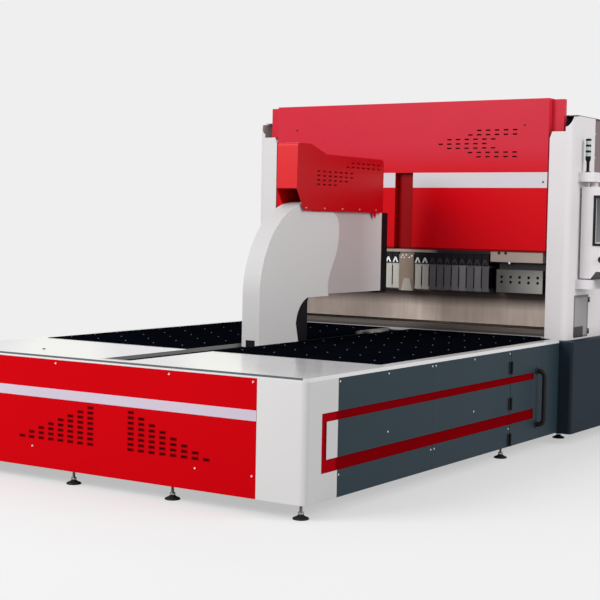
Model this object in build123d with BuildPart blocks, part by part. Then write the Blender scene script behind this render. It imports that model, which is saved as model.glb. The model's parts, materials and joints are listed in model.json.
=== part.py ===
from build123d import *
import os

# A sheet metal bending centre: a feed table, a C-shaped manipulator that runs in the table's slot,
# and a bending press with a swinging operator console on its right column.
# While it is built, X runs across the machine from its centre plane, Y from the loading side to the press
# and Z up from the floor. The last lines move everything to the bottom centre of the whole machine.

# Shared
sheet = 4
seam = 3
overrun = 20
running_gap = 0.5
pivot_gap = 0.05

# Table
table_width = 3066
table_length = 3765
table_height = 850
floor_gap = 96
plate_thickness = 25
corner_radius = 40
corner_run = 354
fold_depth = 36
stripe_thickness = 2
front_stripe_drop = 219
front_stripe_height = 65

# Vent slots
vent_length = 42
vent_height = 12
vent_pitch = 86
vent_rise = 34
front_vent_columns = 8
front_vent_right = 206
front_vent_left = 134
front_vent_low = 294

# Recessed side channel
channel_front = 172
channel_bar = 55
channel_upper_low = 572
channel_upper_high = 625
channel_lower_low = 264
channel_lower_high = 343
channel_stop = 143
channel_depth = 14
channel_liner = 3

# Access door
door_margin = 347
door_width = 573
hinge_shares = (0.07, 0.445, 0.82)
hinge_height = 92
hinge_radius = 9
hinge_sides = 12
hinge_pin_radius = 5
hinge_offset = 10
hinge_leaf = 26
hinge_leaf_thickness = 5
hinge_clear = 11
handle_inset = 88
handle_low = 213
handle_high = 633
handle_reach = 70
handle_radius = 20
handle_sides = 8
handle_bend = 45

# Slot, brush tables and feed rails
slot_half = 110
slot_start = 105
slot_margin = 20
brush_start = 1002
brush_border = 83
brush_rise = 3
tongue_gap = 20
tongue_clearance = 20
rail_proud = 25
rail_height = 30
rail_drop = 105
rail_start = 150

# Welded table frame and levelling feet
frame_bottom = 110
beam_width = 80
beam_height = 120
tie_height = 80
weld_gap = 0.2
foot_inset = 16
foot_inner_x = 415
foot_inner_shift = 77
pad_radius = 50
pad_sides = 20
pad_lip = 9
pad_height = 28
pad_crown = 17
stud_radius = 10
stud_sides = 10
nut_sides = 6
nut_radius = 19
nut_height = 16

# Press frame and covers
press_gap = 135
press_depth = 1300
throat_inset = 188
column_width = 195
column_depth = 500
column_lower_depth = 770
column_inner_leg = 180
column_radius = 60
column_lower_height = 410
column_front_gap = 2
column_shoulder_rise = 35
column_slope_run = 45
column_slope_rise = 118
column_crest_run = 167
column_top_rise = 130
column_bevel = 20
column_bevel_drop = 56
base_proud = 110
base_bottom = 90
base_drop = 15
base_radius = 25
side_frame_clearance = 35
side_frame_thickness = 60
side_frame_setback = 115
side_frame_drop = 20
side_frame_chamfer = 260
shelf_thickness = 10
shelf_drop = 33
upper_shelf_drop = 98
press_foot_inset = 90
rear_wall_inset = 20
hood_thickness = 6
rear_vent_columns = 6
rear_vent_rows = 4
rear_vent_x = 620
rear_vent_drop = 430

# Red press cover
cover_clearance = 12
cover_height = 1266
cover_depth = 110
press_stripe_rise = 533
press_stripe_height = 128
recess_half = 88
recess_depth = 60
tab_inset = 100
tab_drop = 7
tab_height = 265
cover_vent_pitch = 82
arrow_inset = 986
arrow_rise = 904
arrow_row_pitch = 37
arrow_row_shares = (0, 1, 3.4, 4.4)
arrow_row_counts = (6, 6, 6, 5)

# Lower bed and die
bed_setback = 60
bed_depth = 95
bed_bottom = 120
bed_clearance = 5
bed_shoulder_drop = 30
lip_proud = 7
lip_sink = 20
lip_rise = 50
lip_slope = 7
lip_drop = 20
die_setback = 15
die_rise = 12
die_height = 42

# Crosshead, cylinders and guides
head_gap = 180
head_height = 150
head_depth = 330
cylinder_x = 700
cylinder_setback = 280
cylinder_radius = 80
cylinder_height = 170
cylinder_cap = 12
rod_radius = 40
rod_gap = 0.3
rod_length = 465
guide_width = 40
guide_proud = 30
guide_end_gap = 10
guide_tail = 256
beam_guide_setback = 270
blade_guide_setback = 460
blade_guide_tail = 120
blade_guide_head = 40
shoe_lip = 40
shoe_height = 200

# Upper beam and tools
beam_clearance = 35
beam_setback = 90
beam_depth = 330
beam_rise = 604
beam_shoe_shares = (0.12, 0.64)
rail_setback = 5
rail_depth = 140
rail_thickness = 25
end_bar_length = 470
end_bar_height = 61
tool_setback = 25
tool_depth = 115
tool_opening = 281
tool_height = 237
tool_shift = 34
tool_pitch = 71.5
tool_gap = 4
tool_first = 74
tool_nose = 45
tool_toe = 18
clamp_setback = 15
clamp_height = 99
clamp_notch = 12
centre_half = 70
centre_drop = 21
centre_setback = 8
foot_offset = 14
foot_half = 54
foot_top_half = 27
foot_height = 105
foot_proud = 14
end_block_length = 415
end_block_lift = 21
end_block_height = 191
end_block_holes = 5
end_block_hole_radius = 13
end_block_hole_sides = 8
end_block_hole_pitch = 81
end_block_hole_inset = 48
end_block_hole_lift = 87
end_block_hole_rise = 43
neck_setback = 70

# Bending blade carrier
carrier_clearance = 45
blade_clearance = 5
carrier_throat = 240
carrier_back = 120
carrier_drop = 430
carrier_rise = 350
carrier_shoe_shares = (0.13, 0.69)
jaw_sink = 5
jaw_rise = 115
blade_depth = 60
blade_gap_rise = 36
blade_gap_height = 38

# Manipulator
arm_half = 76
arm_setback = 2297
arm_sink = 18
arm_rise = 1000
arm_curve_drop = 645
arm_crown_run = 687
arm_crown_rise = 69
arm_base_run = 535
arm_waist_run = 495
arm_waist_rise = 137
throat_bend_run = 539
throat_bend_rise = 248
throat_roof_run = 659
throat_roof_rise = 332
wave_root_run = 960
wave_crest_run = 1102
wave_top_run = 996
wave_shares = ((0, 0.21), (0.71, 0.49), (1, 0.72), (0.89, 0.9))
notch_half = 38
notch_rise = 30
spine_inset = 37
spine_rear_run = 660
spine_step_run = 827
spine_bend = 65
nose_half = 68
nose_gap = 6
nose_tail = 1
nose_lift = 18
lower_arm_drop = 60
lower_arm_height = 230
lower_arm_tail = 79
carriage_length = 130
carriage_lip = 20
carriage_shares = (0.04, 0.29, 0.65, 0.89)
housing_half = 62
housing_run = 1798
housing_depth = 116
housing_lift = -3
housing_edge = 8
ram_radius = 35
ram_gap = 0.3
ram_cap = 43
rotor_radius = 75
rotor_height = 16
rotor_pin_radius = 20
rotor_pin_length = 10
table_rotor_radius = 78
table_rotor_proud = 6
table_rotor_height = 24
table_rotor_pin_radius = 45
table_rotor_depth = 60

# Red motor cover
motor_half = 92
motor_shift = 8
motor_floor_run = 697
motor_front_run = 447
motor_chin_run = 438
motor_chin_rise = 169
motor_toe_run = 548
motor_brow_run = 637
motor_brow_rise = 512
motor_step_run = 862
motor_back_rise = 442
motor_tail = 40
motor_radius = 40
motor_upper_vent_run = 1259
motor_upper_vent_rise = 358
motor_upper_shares = ((-1, 7), (0, 6))
motor_lower_vent_run = 747
motor_lower_vent_rise = 207
motor_lower_shares = ((0, 4), (0, 6), (0, 7), (0, 7))

# Console and its brackets
bracket_setback = 150
bracket_depth = 250
bracket_reach = 142
bracket_height = 76
bracket_edge = 10
bracket_lift = 11
bracket_spacing = 880
pivot_reach = 72
pivot_setback = 172
pivot_radius = 20
pivot_depth = 18
pivot_boss_radius = 34
pivot_boss_sides = 16
console_clearance = 20
console_width = 525
console_setback = 42
console_depth = 160
console_lift = 10
console_drop = 41
console_cut_start = 95
console_cut_run = 45
console_cut_height = 58
console_edge = 12
screen_margin = 130
screen_border = 40
screen_lift = 298
screen_drop = 75
screen_inset = 6
screen_glass = 4
button_margin = 182
button_lift = 158
button_radius = 20
button_sides = 16
button_height = 22
button_travel = 6
button_stem = 12

# Stack light
light_reach = 52
light_setback = 75
light_sides = 16
light_foot_radius = 26
light_foot_height = 8
light_pole_radius = 13
light_pole_height = 85
light_radius = 23
light_shoulder = 105
light_collar = 133
light_lens = 30
light_ring = 18
light_count = 3

# Oil pump and its window
window_setback = 152
window_width = 266
window_lift = 27
window_height = 326
window_radius = 12
window_lap = 12
window_pane = 4
window_offset = 0.5
window_hinge_gap = 34
window_hinge_radius = 7
window_hinge_sides = 10
window_hinge_height = 44
window_hinge_inset = 8
window_hinge_pin = 3.5
pump_width = 80
pump_inset = 23
pump_split_rise = 86
pump_neck_radius = 30
pump_neck_height = 14
pump_edge = 10

# Places across the machine, worked out from the sizes above
half = table_width / 2
beam_x = half - fold_depth - beam_width / 2
inner_beam_x = slot_half + slot_margin + beam_width / 2
guide_face = slot_half + slot_margin
brush_edge = half - brush_border
throat_half = half - throat_inset
brush_tongue_half = throat_half - tongue_clearance
side_frame_inner = throat_half + side_frame_clearance
side_frame_outer = side_frame_inner + side_frame_thickness
column_outer = throat_half + column_width
base_outer = column_outer + base_proud
rear_wall = column_outer - rear_wall_inset
cover_half = throat_half - cover_clearance
tab_outer = column_outer - tab_inset
arrow_tip = cover_half - arrow_inset
bed_half = throat_half - bed_clearance
beam_half = throat_half - beam_clearance
end_bar_start = beam_half - end_bar_length
end_block_start = beam_half - end_block_length
carrier_half = throat_half - carrier_clearance
spine_half = arm_half - sheet
nose_core = nose_half - sheet
bracket_outer = column_outer + bracket_reach
pivot_x = column_outer + pivot_reach
console_left = column_outer + console_clearance
console_right = console_left + console_width
console_cut_x = console_left + console_cut_start
screen_left = console_left + screen_margin
screen_right = console_right - screen_border
button_x = console_left + button_margin
light_x = column_outer + light_reach

# Places along the machine
beam_y = fold_depth + beam_width / 2
door_end = table_length - door_margin
door_start = door_end - door_width
channel_end = door_end - channel_stop
handle_y = door_end - handle_inset
foot_rear_y = door_start + foot_inset
mid_beam_y = (brush_start + foot_rear_y) / 2
press_front = table_length + press_gap
press_rear = press_front + press_depth
brush_end = press_front - tongue_gap
side_frame_front = press_front + side_frame_setback
cover_back = press_front + cover_depth
bed_front = press_front + bed_setback
bed_rear = bed_front + bed_depth
lip_front = press_front - lip_proud
die_front = press_front + die_setback
head_front = cover_back
head_rear = head_front + head_depth
cylinder_y = press_front + cylinder_setback
beam_guide_y = press_front + beam_guide_setback
blade_guide_y = press_front + blade_guide_setback
beam_front = press_front + beam_setback
beam_rear = beam_front + beam_depth
rail_front = press_front + rail_setback
rail_rear = rail_front + rail_depth
tool_front = press_front + tool_setback
tool_rear = tool_front + tool_depth
clamp_front = press_front + clamp_setback
centre_front = press_front + centre_setback
neck_front = press_front + neck_setback
carrier_front = bed_rear + blade_clearance
carrier_web = carrier_front + carrier_throat
carrier_rear = carrier_web + carrier_back
arm_front = press_front - arm_setback
arm_crown_y = arm_front + arm_crown_run
arm_base_rear = arm_front + arm_base_run
arm_waist_y = arm_front + arm_waist_run
throat_bend_y = arm_front + throat_bend_run
throat_roof_y = arm_front + throat_roof_run
wave_root_y = arm_front + wave_root_run
wave_crest_y = arm_front + wave_crest_run
wave_top_y = arm_front + wave_top_run
spine_rear = arm_front + spine_rear_run
spine_step = arm_front + spine_step_run
nose_start = spine_step + nose_gap
housing_front = arm_front + housing_run
housing_end = housing_front + housing_depth
housing_y = (housing_front + housing_end) / 2
nose_end = housing_front - nose_tail
lower_arm_end = housing_end + lower_arm_tail
motor_floor_start = arm_front + motor_floor_run
motor_front = arm_front + motor_front_run
motor_chin_y = arm_front + motor_chin_run
motor_toe_y = arm_front + motor_toe_run
motor_brow_end = arm_front + motor_brow_run
motor_step_y = arm_front + motor_step_run
motor_end = housing_front - motor_tail
motor_upper_vent_y = arm_front + motor_upper_vent_run
motor_lower_vent_y = arm_front + motor_lower_vent_run
bracket_front = press_front + bracket_setback
bracket_rear = bracket_front + bracket_depth
pivot_y = bracket_front + pivot_setback
console_front = bracket_front + console_setback
light_y = bracket_front + light_setback
window_front = press_front + window_setback
window_rear = window_front + window_width
window_hinge_y = window_rear + window_hinge_gap
pump_front = window_front + pump_inset
pump_rear = window_rear - pump_inset

# Heights
panel_top = table_height - plate_thickness
front_stripe_high = table_height - front_stripe_drop
front_stripe_low = front_stripe_high - front_stripe_height
hinge_centres = [floor_gap + share * (panel_top - floor_gap) for share in hinge_shares]
rail_level = table_height - rail_drop
base_top = table_height - base_drop
bed_shoulder = table_height - bed_shoulder_drop
lip_low = table_height - lip_sink
lip_high = table_height + lip_rise
die_low = table_height + die_rise
die_high = die_low + die_height
tool_bottom = die_high + tool_opening
tool_top = tool_bottom + tool_height
rail_low = tool_top + clamp_height
end_bar_low = rail_low - end_bar_height
centre_top = rail_low - centre_drop
end_block_low = tool_bottom + end_block_lift
end_block_high = end_block_low + end_block_height
end_block_hole_level = end_block_low + end_block_hole_lift
cover_low = rail_low + rail_thickness
cover_high = cover_low + cover_height
press_stripe_low = cover_low + press_stripe_rise
press_stripe_high = press_stripe_low + press_stripe_height
arrow_level = cover_low + arrow_rise
tab_high = cover_high - tab_drop
tab_low = tab_high - tab_height
beam_high = cover_low + beam_rise
beam_shoe_levels = [cover_low + share * beam_rise for share in beam_shoe_shares]
head_low = beam_high + head_gap
head_high = head_low + head_height
beam_guide_low = cover_low - guide_tail
beam_guide_high = head_low - guide_end_gap
carrier_low = table_height - carrier_drop
carrier_high = table_height + carrier_rise
carrier_shoe_levels = [carrier_low + share * (carrier_high - carrier_low) for share in carrier_shoe_shares]
blade_guide_low = carrier_low - blade_guide_tail
blade_guide_high = carrier_high + blade_guide_head
jaw_low = table_height - jaw_sink
jaw_high = table_height + jaw_rise
blade_gap_low = table_height + blade_gap_rise
blade_gap_high = blade_gap_low + blade_gap_height
column_seam = base_top + column_lower_height
column_front_top = tab_low - column_front_gap
column_shoulder = tab_low + column_shoulder_rise
column_slope_top = tab_low + column_slope_rise
column_top = tab_low + column_top_rise
side_frame_top = column_top - side_frame_drop
shelf_levels = (base_top, column_seam - shelf_drop, column_front_top - upper_shelf_drop)
rear_vent_low = column_top - rear_vent_drop
motor_low = table_height + arm_rise
motor_chin = motor_low + motor_chin_rise
motor_brow = motor_low + motor_brow_rise
motor_back = motor_low + motor_back_rise
motor_upper_vent_low = motor_low + motor_upper_vent_rise
motor_lower_vent_low = motor_low + motor_lower_vent_rise
arm_bottom = table_height - arm_sink
arm_lid = motor_low - sheet
arm_top = motor_low + arm_crown_rise
arm_shoulder = motor_low - arm_curve_drop
arm_waist = table_height + arm_waist_rise
throat_bend = table_height + throat_bend_rise
throat_roof = table_height + throat_roof_rise
notch_high = table_height + notch_rise
nose_low = throat_roof + nose_lift
nose_high = motor_low
lower_arm_high = table_height - lower_arm_drop
lower_arm_low = lower_arm_high - lower_arm_height
housing_low = nose_low + housing_lift
housing_high = motor_low + seam
ram_top = housing_high - ram_cap
rotor_low = housing_low - rotor_height
table_rotor_high = table_height + table_rotor_proud
table_rotor_low = table_rotor_high - table_rotor_height
table_rotor_seat = lower_arm_high - table_rotor_depth
lower_bracket_low = column_seam + bracket_lift
upper_bracket_low = lower_bracket_low + bracket_spacing
console_low = lower_bracket_low + bracket_height + console_lift
console_high = upper_bracket_low - console_drop
console_cut_high = console_low + console_cut_height
screen_low = console_low + screen_lift
screen_high = console_high - screen_drop
button_level = console_low + button_lift
light_base = upper_bracket_low + bracket_height
window_low = base_top + window_lift
window_high = window_low + window_height
pump_split = window_low + pump_split_rise
pump_high = window_high - pump_inset

# Places of the feet under the table and under the press, and of the tools along the beam
floor_points = [(side * beam_x, y) for side in (1, -1) for y in (beam_y, foot_rear_y)]
floor_points += [(foot_inner_shift + side * foot_inner_x, beam_y) for side in (1, -1)]
press_points = [(side * (side_frame_inner + side_frame_thickness / 2), y) for side in (1, -1) for y in (
    side_frame_front + press_foot_inset,
    press_rear - press_foot_inset,
)]
tool_counts = [int((end_bar_start - side * tool_shift - tool_first) // tool_pitch) for side in (1, -1)]
tool_places = [
    tool_shift + side * (tool_first + tool_pitch * (step + 1 / 2))
    for side, count in zip((1, -1), tool_counts)
    for step in range(count)
]

pieces = {}


def keep(name, builder):
    """Store a finished piece under its node name."""
    pieces[name] = builder.part


def block(x, y, z, mode=Mode.ADD):
    """A box between two limits on each axis, added to the current piece."""
    with Locations(((x[0] + x[1]) / 2, (y[0] + y[1]) / 2, (z[0] + z[1]) / 2)):
        Box(x[1] - x[0], y[1] - y[0], z[1] - z[0], mode=mode)


def pair(low, high):
    """The right and left limits of a piece that repeats on both sides of the centre plane."""
    return (low, high), (-high, -low)


def mirrored(piece):
    """The same piece on the other side of the centre plane."""
    with BuildPart() as other:
        mirror(piece, about=Plane.YZ)
    return other


def post(x, y, low, high, radius, mode=Mode.ADD):
    """An upright round bar between two heights."""
    with Locations((x, y, (low + high) / 2)):
        Cylinder(radius, high - low, mode=mode)


def prism(x, y, low, high, radius, sides):
    """An upright bar with a regular many-sided section between two heights."""
    with BuildSketch(Plane.XY.offset(low)) as section:
        with Locations((x, y)):
            RegularPolygon(radius, sides)
    extrude(section.sketch, amount=high - low)


def cone(x, y, low, high, low_radius, high_radius, sides):
    """An upright tapered bar with a regular many-sided section."""
    with BuildSketch(Plane.XY.offset(low)) as foot:
        with Locations((x, y)):
            RegularPolygon(low_radius, sides)
    with BuildSketch(Plane.XY.offset(high)) as head:
        with Locations((x, y)):
            RegularPolygon(high_radius, sides)
    loft([foot.sketch, head.sketch], ruled=True)


def channel_bars(front, end, grow):
    """Outline of the side channel in the current sketch: two bars, grown by the wall of its trough."""
    for low, high in ((channel_lower_low, channel_lower_high), (channel_upper_low, channel_upper_high)):
        with Locations(((front + end) / 2, (low + high) / 2)):
            Rectangle(end - front + 2 * grow, high - low + 2 * grow)


def channel_root(grow):
    """The upright bar that joins the two bars at the front."""
    middle = (channel_lower_low + channel_upper_high) / 2
    with Locations((channel_front + channel_bar / 2, middle)):
        Rectangle(channel_bar + 2 * grow, channel_upper_high - channel_lower_low + 2 * grow)


def press_trough(front, end, limits, with_root):
    """Press the channel into the side sheet of the current panel, between two limits along the side."""
    depths = ((sheet, channel_depth + sheet, Mode.ADD), (0, channel_depth, Mode.SUBTRACT))
    for grow, depth, mode in depths:
        with BuildSketch(Plane.YZ.offset(half)) as trough:
            channel_bars(front, end, grow)
            if with_root:
                channel_root(grow)
            with Locations(((limits[0] + limits[1]) / 2, table_height / 2)):
                Rectangle(limits[1] - limits[0], table_height, mode=Mode.INTERSECT)
        extrude(trough.sketch, amount=-depth, mode=mode)


def side_cassette(start, end):
    """A folded side panel: a sheet with its four edges turned inwards."""
    block((half - fold_depth, half), (start, end), (floor_gap, panel_top))
    block(
        (half - fold_depth - overrun, half - sheet),
        (start + sheet, end - sheet),
        (floor_gap + sheet, panel_top - sheet),
        Mode.SUBTRACT,
    )


# Table frame: beams under the top, legs over the feet and ties near the floor, each bar cut to its weld gap
with BuildPart() as table_frame:
    beam_low = panel_top - beam_height
    tie_top = frame_bottom + tie_height
    beam_half_width = beam_width / 2
    for side in (1, -1):
        for x, end in ((beam_x, table_length), (inner_beam_x, bed_front)):
            limits = sorted((side * (x - beam_half_width), side * (x + beam_half_width)))
            block(limits, (fold_depth, end), (beam_low, panel_top))
        across = sorted((
            side * (inner_beam_x + beam_half_width + weld_gap), side * (beam_x - beam_half_width - weld_gap)
        ))
        for y in (beam_y, brush_start, mid_beam_y, foot_rear_y, table_length - beam_half_width):
            block(across, (y - beam_half_width, y + beam_half_width), (beam_low, panel_top))
        limits = sorted((side * (beam_x - beam_half_width), side * (beam_x + beam_half_width)))
        block(limits, (fold_depth, table_length), (frame_bottom, tie_top))
    for x, y in floor_points:
        block(
            (x - beam_half_width, x + beam_half_width),
            (y - beam_half_width, y + beam_half_width),
            (tie_top + weld_gap, beam_low - weld_gap),
        )
    tie_end = beam_x - beam_half_width - weld_gap
    for y in (beam_y, foot_rear_y):
        block((-tie_end, tie_end), (y - beam_half_width, y + beam_half_width), (frame_bottom, tie_top))
keep("table_frame", table_frame)

# Feed rails on the inner faces of the two beams beside the slot
with BuildPart() as feed_rails:
    for limits in pair(guide_face - rail_proud, guide_face):
        block(limits, (rail_start, table_length), (rail_level, rail_level + rail_height))
keep("feed_rails", feed_rails)

# Levelling feet: a crowned pad and a hexagon-headed stud screwed into each leg
with BuildPart() as foot_pads:
    for x, y in floor_points + press_points:
        prism(x, y, 0, pad_lip, pad_radius, pad_sides)
        cone(x, y, pad_lip, pad_height, pad_radius, pad_crown, pad_sides)
keep("foot_pads", foot_pads)

with BuildPart() as foot_studs:
    for x, y in floor_points + press_points:
        prism(x, y, pad_height, frame_bottom, stud_radius, stud_sides)
        for level in (pad_height, frame_bottom - nut_height):
            prism(x, y, level, level + nut_height, nut_radius, nut_sides)
keep("foot_studs", foot_studs)

# Red front panel: a folded cassette with two triangles of vent slots
panel_half = half - corner_run - seam
with BuildPart() as front_panel:
    block((-panel_half, panel_half), (stripe_thickness, fold_depth), (floor_gap, panel_top))
    block(
        (-panel_half + sheet, panel_half - sheet),
        (stripe_thickness + sheet, fold_depth + overrun),
        (floor_gap + sheet, panel_top - sheet),
        Mode.SUBTRACT,
    )
    with BuildSketch(Plane.XZ.offset(-stripe_thickness)):
        for column in range(front_vent_columns):
            for row in range(front_vent_columns - column):
                level = front_vent_low + row * vent_rise
                right = front_vent_right + column * vent_pitch
                left = -front_vent_left - column * vent_pitch
                with Locations((right, level), (left, level)):
                    Rectangle(vent_length, vent_height)
    extrude(amount=overrun, both=True, mode=Mode.SUBTRACT)
keep("front_panel", front_panel)

with BuildPart() as front_stripe:
    block((-panel_half, panel_half), (0, stripe_thickness), (front_stripe_low, front_stripe_high))
keep("front_stripe", front_stripe)

# White corner panels: one sheet bent round the table's front corner, with the root of the channel pressed in
with BuildPart() as corner_panel:
    for inset, reach, mode in ((0, 0, Mode.ADD), (sheet, overrun, Mode.SUBTRACT)):
        with BuildSketch(Plane.XY.offset(floor_gap)):
            low_x = half - corner_run - reach
            high_x = half - inset
            with Locations(((low_x + high_x) / 2, (inset + corner_run + reach) / 2)):
                Rectangle(high_x - low_x, corner_run + reach - inset)
            fillet(vertices().sort_by(Axis.Y)[0:2].sort_by(Axis.X)[-1], corner_radius - inset)
        extrude(amount=panel_top - floor_gap, mode=mode)
    block((half - corner_run, half - corner_run + sheet), (0, fold_depth), (floor_gap, panel_top))
    block((half - fold_depth, half), (corner_run - sheet, corner_run), (floor_gap, panel_top))
    press_trough(channel_front, channel_end, (0, corner_run), True)
keep("corner_panel_right", corner_panel)
keep("corner_panel_left", mirrored(corner_panel.part))

# Dark side panels: one run on the left, a run and an end piece beside the door on the right
with BuildPart() as side_panel_right:
    side_cassette(corner_run, door_start - seam)
    press_trough(channel_front, channel_end, (corner_run, door_start - seam), False)
    side_cassette(door_end + seam, table_length)
keep("side_panel_right", side_panel_right)

with BuildPart() as side_run_left:
    side_cassette(corner_run, table_length)
    press_trough(channel_front, channel_end, (corner_run, table_length), False)
keep("side_panel_left", mirrored(side_run_left.part))


def channel_strip(front, end, limits, with_root):
    """The red liner that lies on the floor of the channel."""
    with BuildSketch(Plane.YZ.offset(half - channel_depth)) as strip:
        channel_bars(front, end, 0)
        if with_root:
            channel_root(0)
        with Locations(((limits[0] + limits[1]) / 2, table_height / 2)):
            Rectangle(limits[1] - limits[0], table_height, mode=Mode.INTERSECT)
    extrude(strip.sketch, amount=channel_liner)


with BuildPart() as channel_right:
    channel_strip(channel_front, channel_end, (0, door_start - seam), True)
keep("side_channel_right", channel_right)

with BuildPart() as channel_left:
    channel_strip(channel_front, channel_end, (0, channel_end), True)
keep("side_channel_left", mirrored(channel_left.part))

# Access door: a cassette with its own stretch of channel, three lift hinges and a bent pull handle
with BuildPart() as side_door:
    side_cassette(door_start + seam, door_end)
    press_trough(channel_front, channel_end, (door_start + seam, door_end), False)
keep("side_door", side_door)

with BuildPart() as door_channel:
    channel_strip(channel_front, channel_end, (door_start + seam, channel_end), False)
keep("door_channel", door_channel)

hinge_x = half + hinge_offset
with BuildPart() as door_hinges_fixed:
    for centre in hinge_centres:
        low = centre - hinge_height / 2
        block(
            (half, half + hinge_leaf_thickness),
            (door_start - hinge_clear - hinge_leaf, door_start - hinge_clear),
            (low, low + hinge_height),
        )
        block((half, half + hinge_leaf_thickness), (door_start - hinge_clear, door_start), (low, centre))
        prism(hinge_x, door_start, low, centre, hinge_radius, hinge_sides)
        post(hinge_x, door_start, low, low + hinge_height, hinge_pin_radius)
        block((half - overrun, half), (door_start - hinge_clear, door_start), (low, centre), Mode.SUBTRACT)
keep("door_hinges_fixed", door_hinges_fixed)

with BuildPart() as door_hinges_moving:
    for centre in hinge_centres:
        low = centre - hinge_height / 2
        block(
            (half, half + hinge_leaf_thickness),
            (door_start + hinge_clear, door_start + hinge_clear + hinge_leaf),
            (low, low + hinge_height),
        )
        block(
            (half, half + hinge_leaf_thickness),
            (door_start, door_start + hinge_clear),
            (centre + running_gap, low + hinge_height),
        )
        prism(hinge_x, door_start, centre + running_gap, low + hinge_height, hinge_radius, hinge_sides)
        bore = hinge_pin_radius + pivot_gap
        post(hinge_x, door_start, low - overrun, low + hinge_height + overrun, bore, Mode.SUBTRACT)
keep("door_hinges_moving", door_hinges_moving)

with BuildPart() as door_handle:
    with BuildLine():
        FilletPolyline(
            (half, handle_y, handle_low),
            (half + handle_reach, handle_y, handle_low),
            (half + handle_reach, handle_y, handle_high),
            (half, handle_y, handle_high),
            radius=handle_bend,
        )
    with BuildSketch(Plane((half, handle_y, handle_low), z_dir=(1, 0, 0))):
        RegularPolygon(handle_radius, handle_sides)
    sweep()
keep("door_handle", door_handle)

# Top plate with the feed slot and the two brush fields cut out, and the brush tables that lie in them
with BuildPart() as top_plate:
    with BuildSketch(Plane.XY.offset(panel_top)):
        with Locations((0, table_length / 2)):
            Rectangle(table_width, table_length)
        fillet(vertices().group_by(Axis.Y)[0], corner_radius)
        slot_length = table_length - slot_start + overrun
        with Locations((0, slot_start + slot_length / 2)):
            Rectangle(2 * slot_half, slot_length, mode=Mode.SUBTRACT)
        field_length = table_length - brush_start + overrun
        with Locations((0, brush_start + field_length / 2)):
            Rectangle(2 * brush_edge, field_length, mode=Mode.SUBTRACT)
    extrude(amount=plate_thickness)
keep("top_plate", top_plate)

with BuildPart() as brush_table_right:
    with BuildSketch(Plane.XY.offset(panel_top)):
        with Locations(((slot_half + brush_edge) / 2, (brush_start + table_length) / 2)):
            Rectangle(brush_edge - slot_half, table_length - brush_start)
        with Locations(((slot_half + brush_tongue_half) / 2, (table_length + brush_end) / 2)):
            Rectangle(brush_tongue_half - slot_half, brush_end - table_length)
    extrude(amount=plate_thickness + brush_rise)
keep("brush_table_right", brush_table_right)
keep("brush_table_left", mirrored(brush_table_right.part))


# Press side frames: thick plates with shelves that carry the column covers
def column_outline(inset, depth):
    """Plan of a column cover in the current sketch, drawn inset by a wall and as deep as given."""
    low_x = throat_half + inset
    high_x = column_outer - inset
    front = press_front + inset
    rear = press_front + depth
    with Locations(((low_x + high_x) / 2, (front + rear) / 2)):
        Rectangle(high_x - low_x, rear - front)
    fillet(vertices().group_by(Axis.Y)[0].sort_by(Axis.X)[-1], column_radius - inset)


with BuildPart() as side_frame_right:
    side_frame_rear = press_rear - fold_depth
    with BuildSketch(Plane.YZ.offset(side_frame_inner)):
        with Locations(((side_frame_front + side_frame_rear) / 2, (frame_bottom + side_frame_top) / 2)):
            Rectangle(side_frame_rear - side_frame_front, side_frame_top - frame_bottom)
        chamfer(vertices().group_by(Axis.X)[-1].sort_by(Axis.Y)[-1], side_frame_chamfer)
    extrude(amount=side_frame_thickness)
    for level in shelf_levels:
        with BuildSketch(Plane.XY.offset(level)):
            column_outline(sheet, column_depth - sheet)
            with Locations((side_frame_inner - overrun, press_front + column_depth / 2 + column_inner_leg)):
                Rectangle(2 * overrun, column_depth, mode=Mode.SUBTRACT)
        extrude(amount=shelf_thickness)
keep("side_frame_right", side_frame_right)
keep("side_frame_left", mirrored(side_frame_right.part))

# Dark base covers round the foot of each side frame
with BuildPart() as base_cover:
    with BuildSketch(Plane.XY.offset(base_bottom)):
        with Locations(((throat_half + base_outer) / 2, (table_length + press_rear) / 2)):
            Rectangle(base_outer - throat_half, press_rear - table_length)
        fillet(vertices().sort_by(Axis.X)[-2:], base_radius)
    extrude(amount=base_top - base_bottom)
    with BuildSketch(Plane.XY.offset(base_bottom)):
        low_x = throat_half - overrun
        high_x = base_outer - sheet
        with Locations(((low_x + high_x) / 2, (table_length + press_rear) / 2)):
            Rectangle(high_x - low_x, press_rear - table_length - 2 * sheet)
        fillet(vertices().sort_by(Axis.X)[-2:], base_radius - sheet)
    extrude(amount=base_top - base_bottom - sheet, mode=Mode.SUBTRACT)
    block(
        (throat_half - overrun, side_frame_outer),
        (side_frame_front, press_rear - fold_depth),
        (base_bottom, base_top + overrun),
        Mode.SUBTRACT,
    )
keep("column_base_right", base_cover)
keep("column_base_left", mirrored(base_cover.part))


def column_shell(low, high, depth):
    """A column cover between two heights: front, outer wall and a short inner leg, open to the rear."""
    for inset, reach, mode in ((0, 0, Mode.ADD), (sheet, overrun, Mode.SUBTRACT)):
        with BuildSketch(Plane.XY.offset(low)) as plan:
            column_outline(inset, depth + reach)
        extrude(plan.sketch, amount=high - low, mode=mode)
    block(
        (throat_half - overrun, throat_half + overrun),
        (press_front + column_inner_leg, press_front + depth + overrun),
        (low, high),
        Mode.SUBTRACT,
    )


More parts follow.
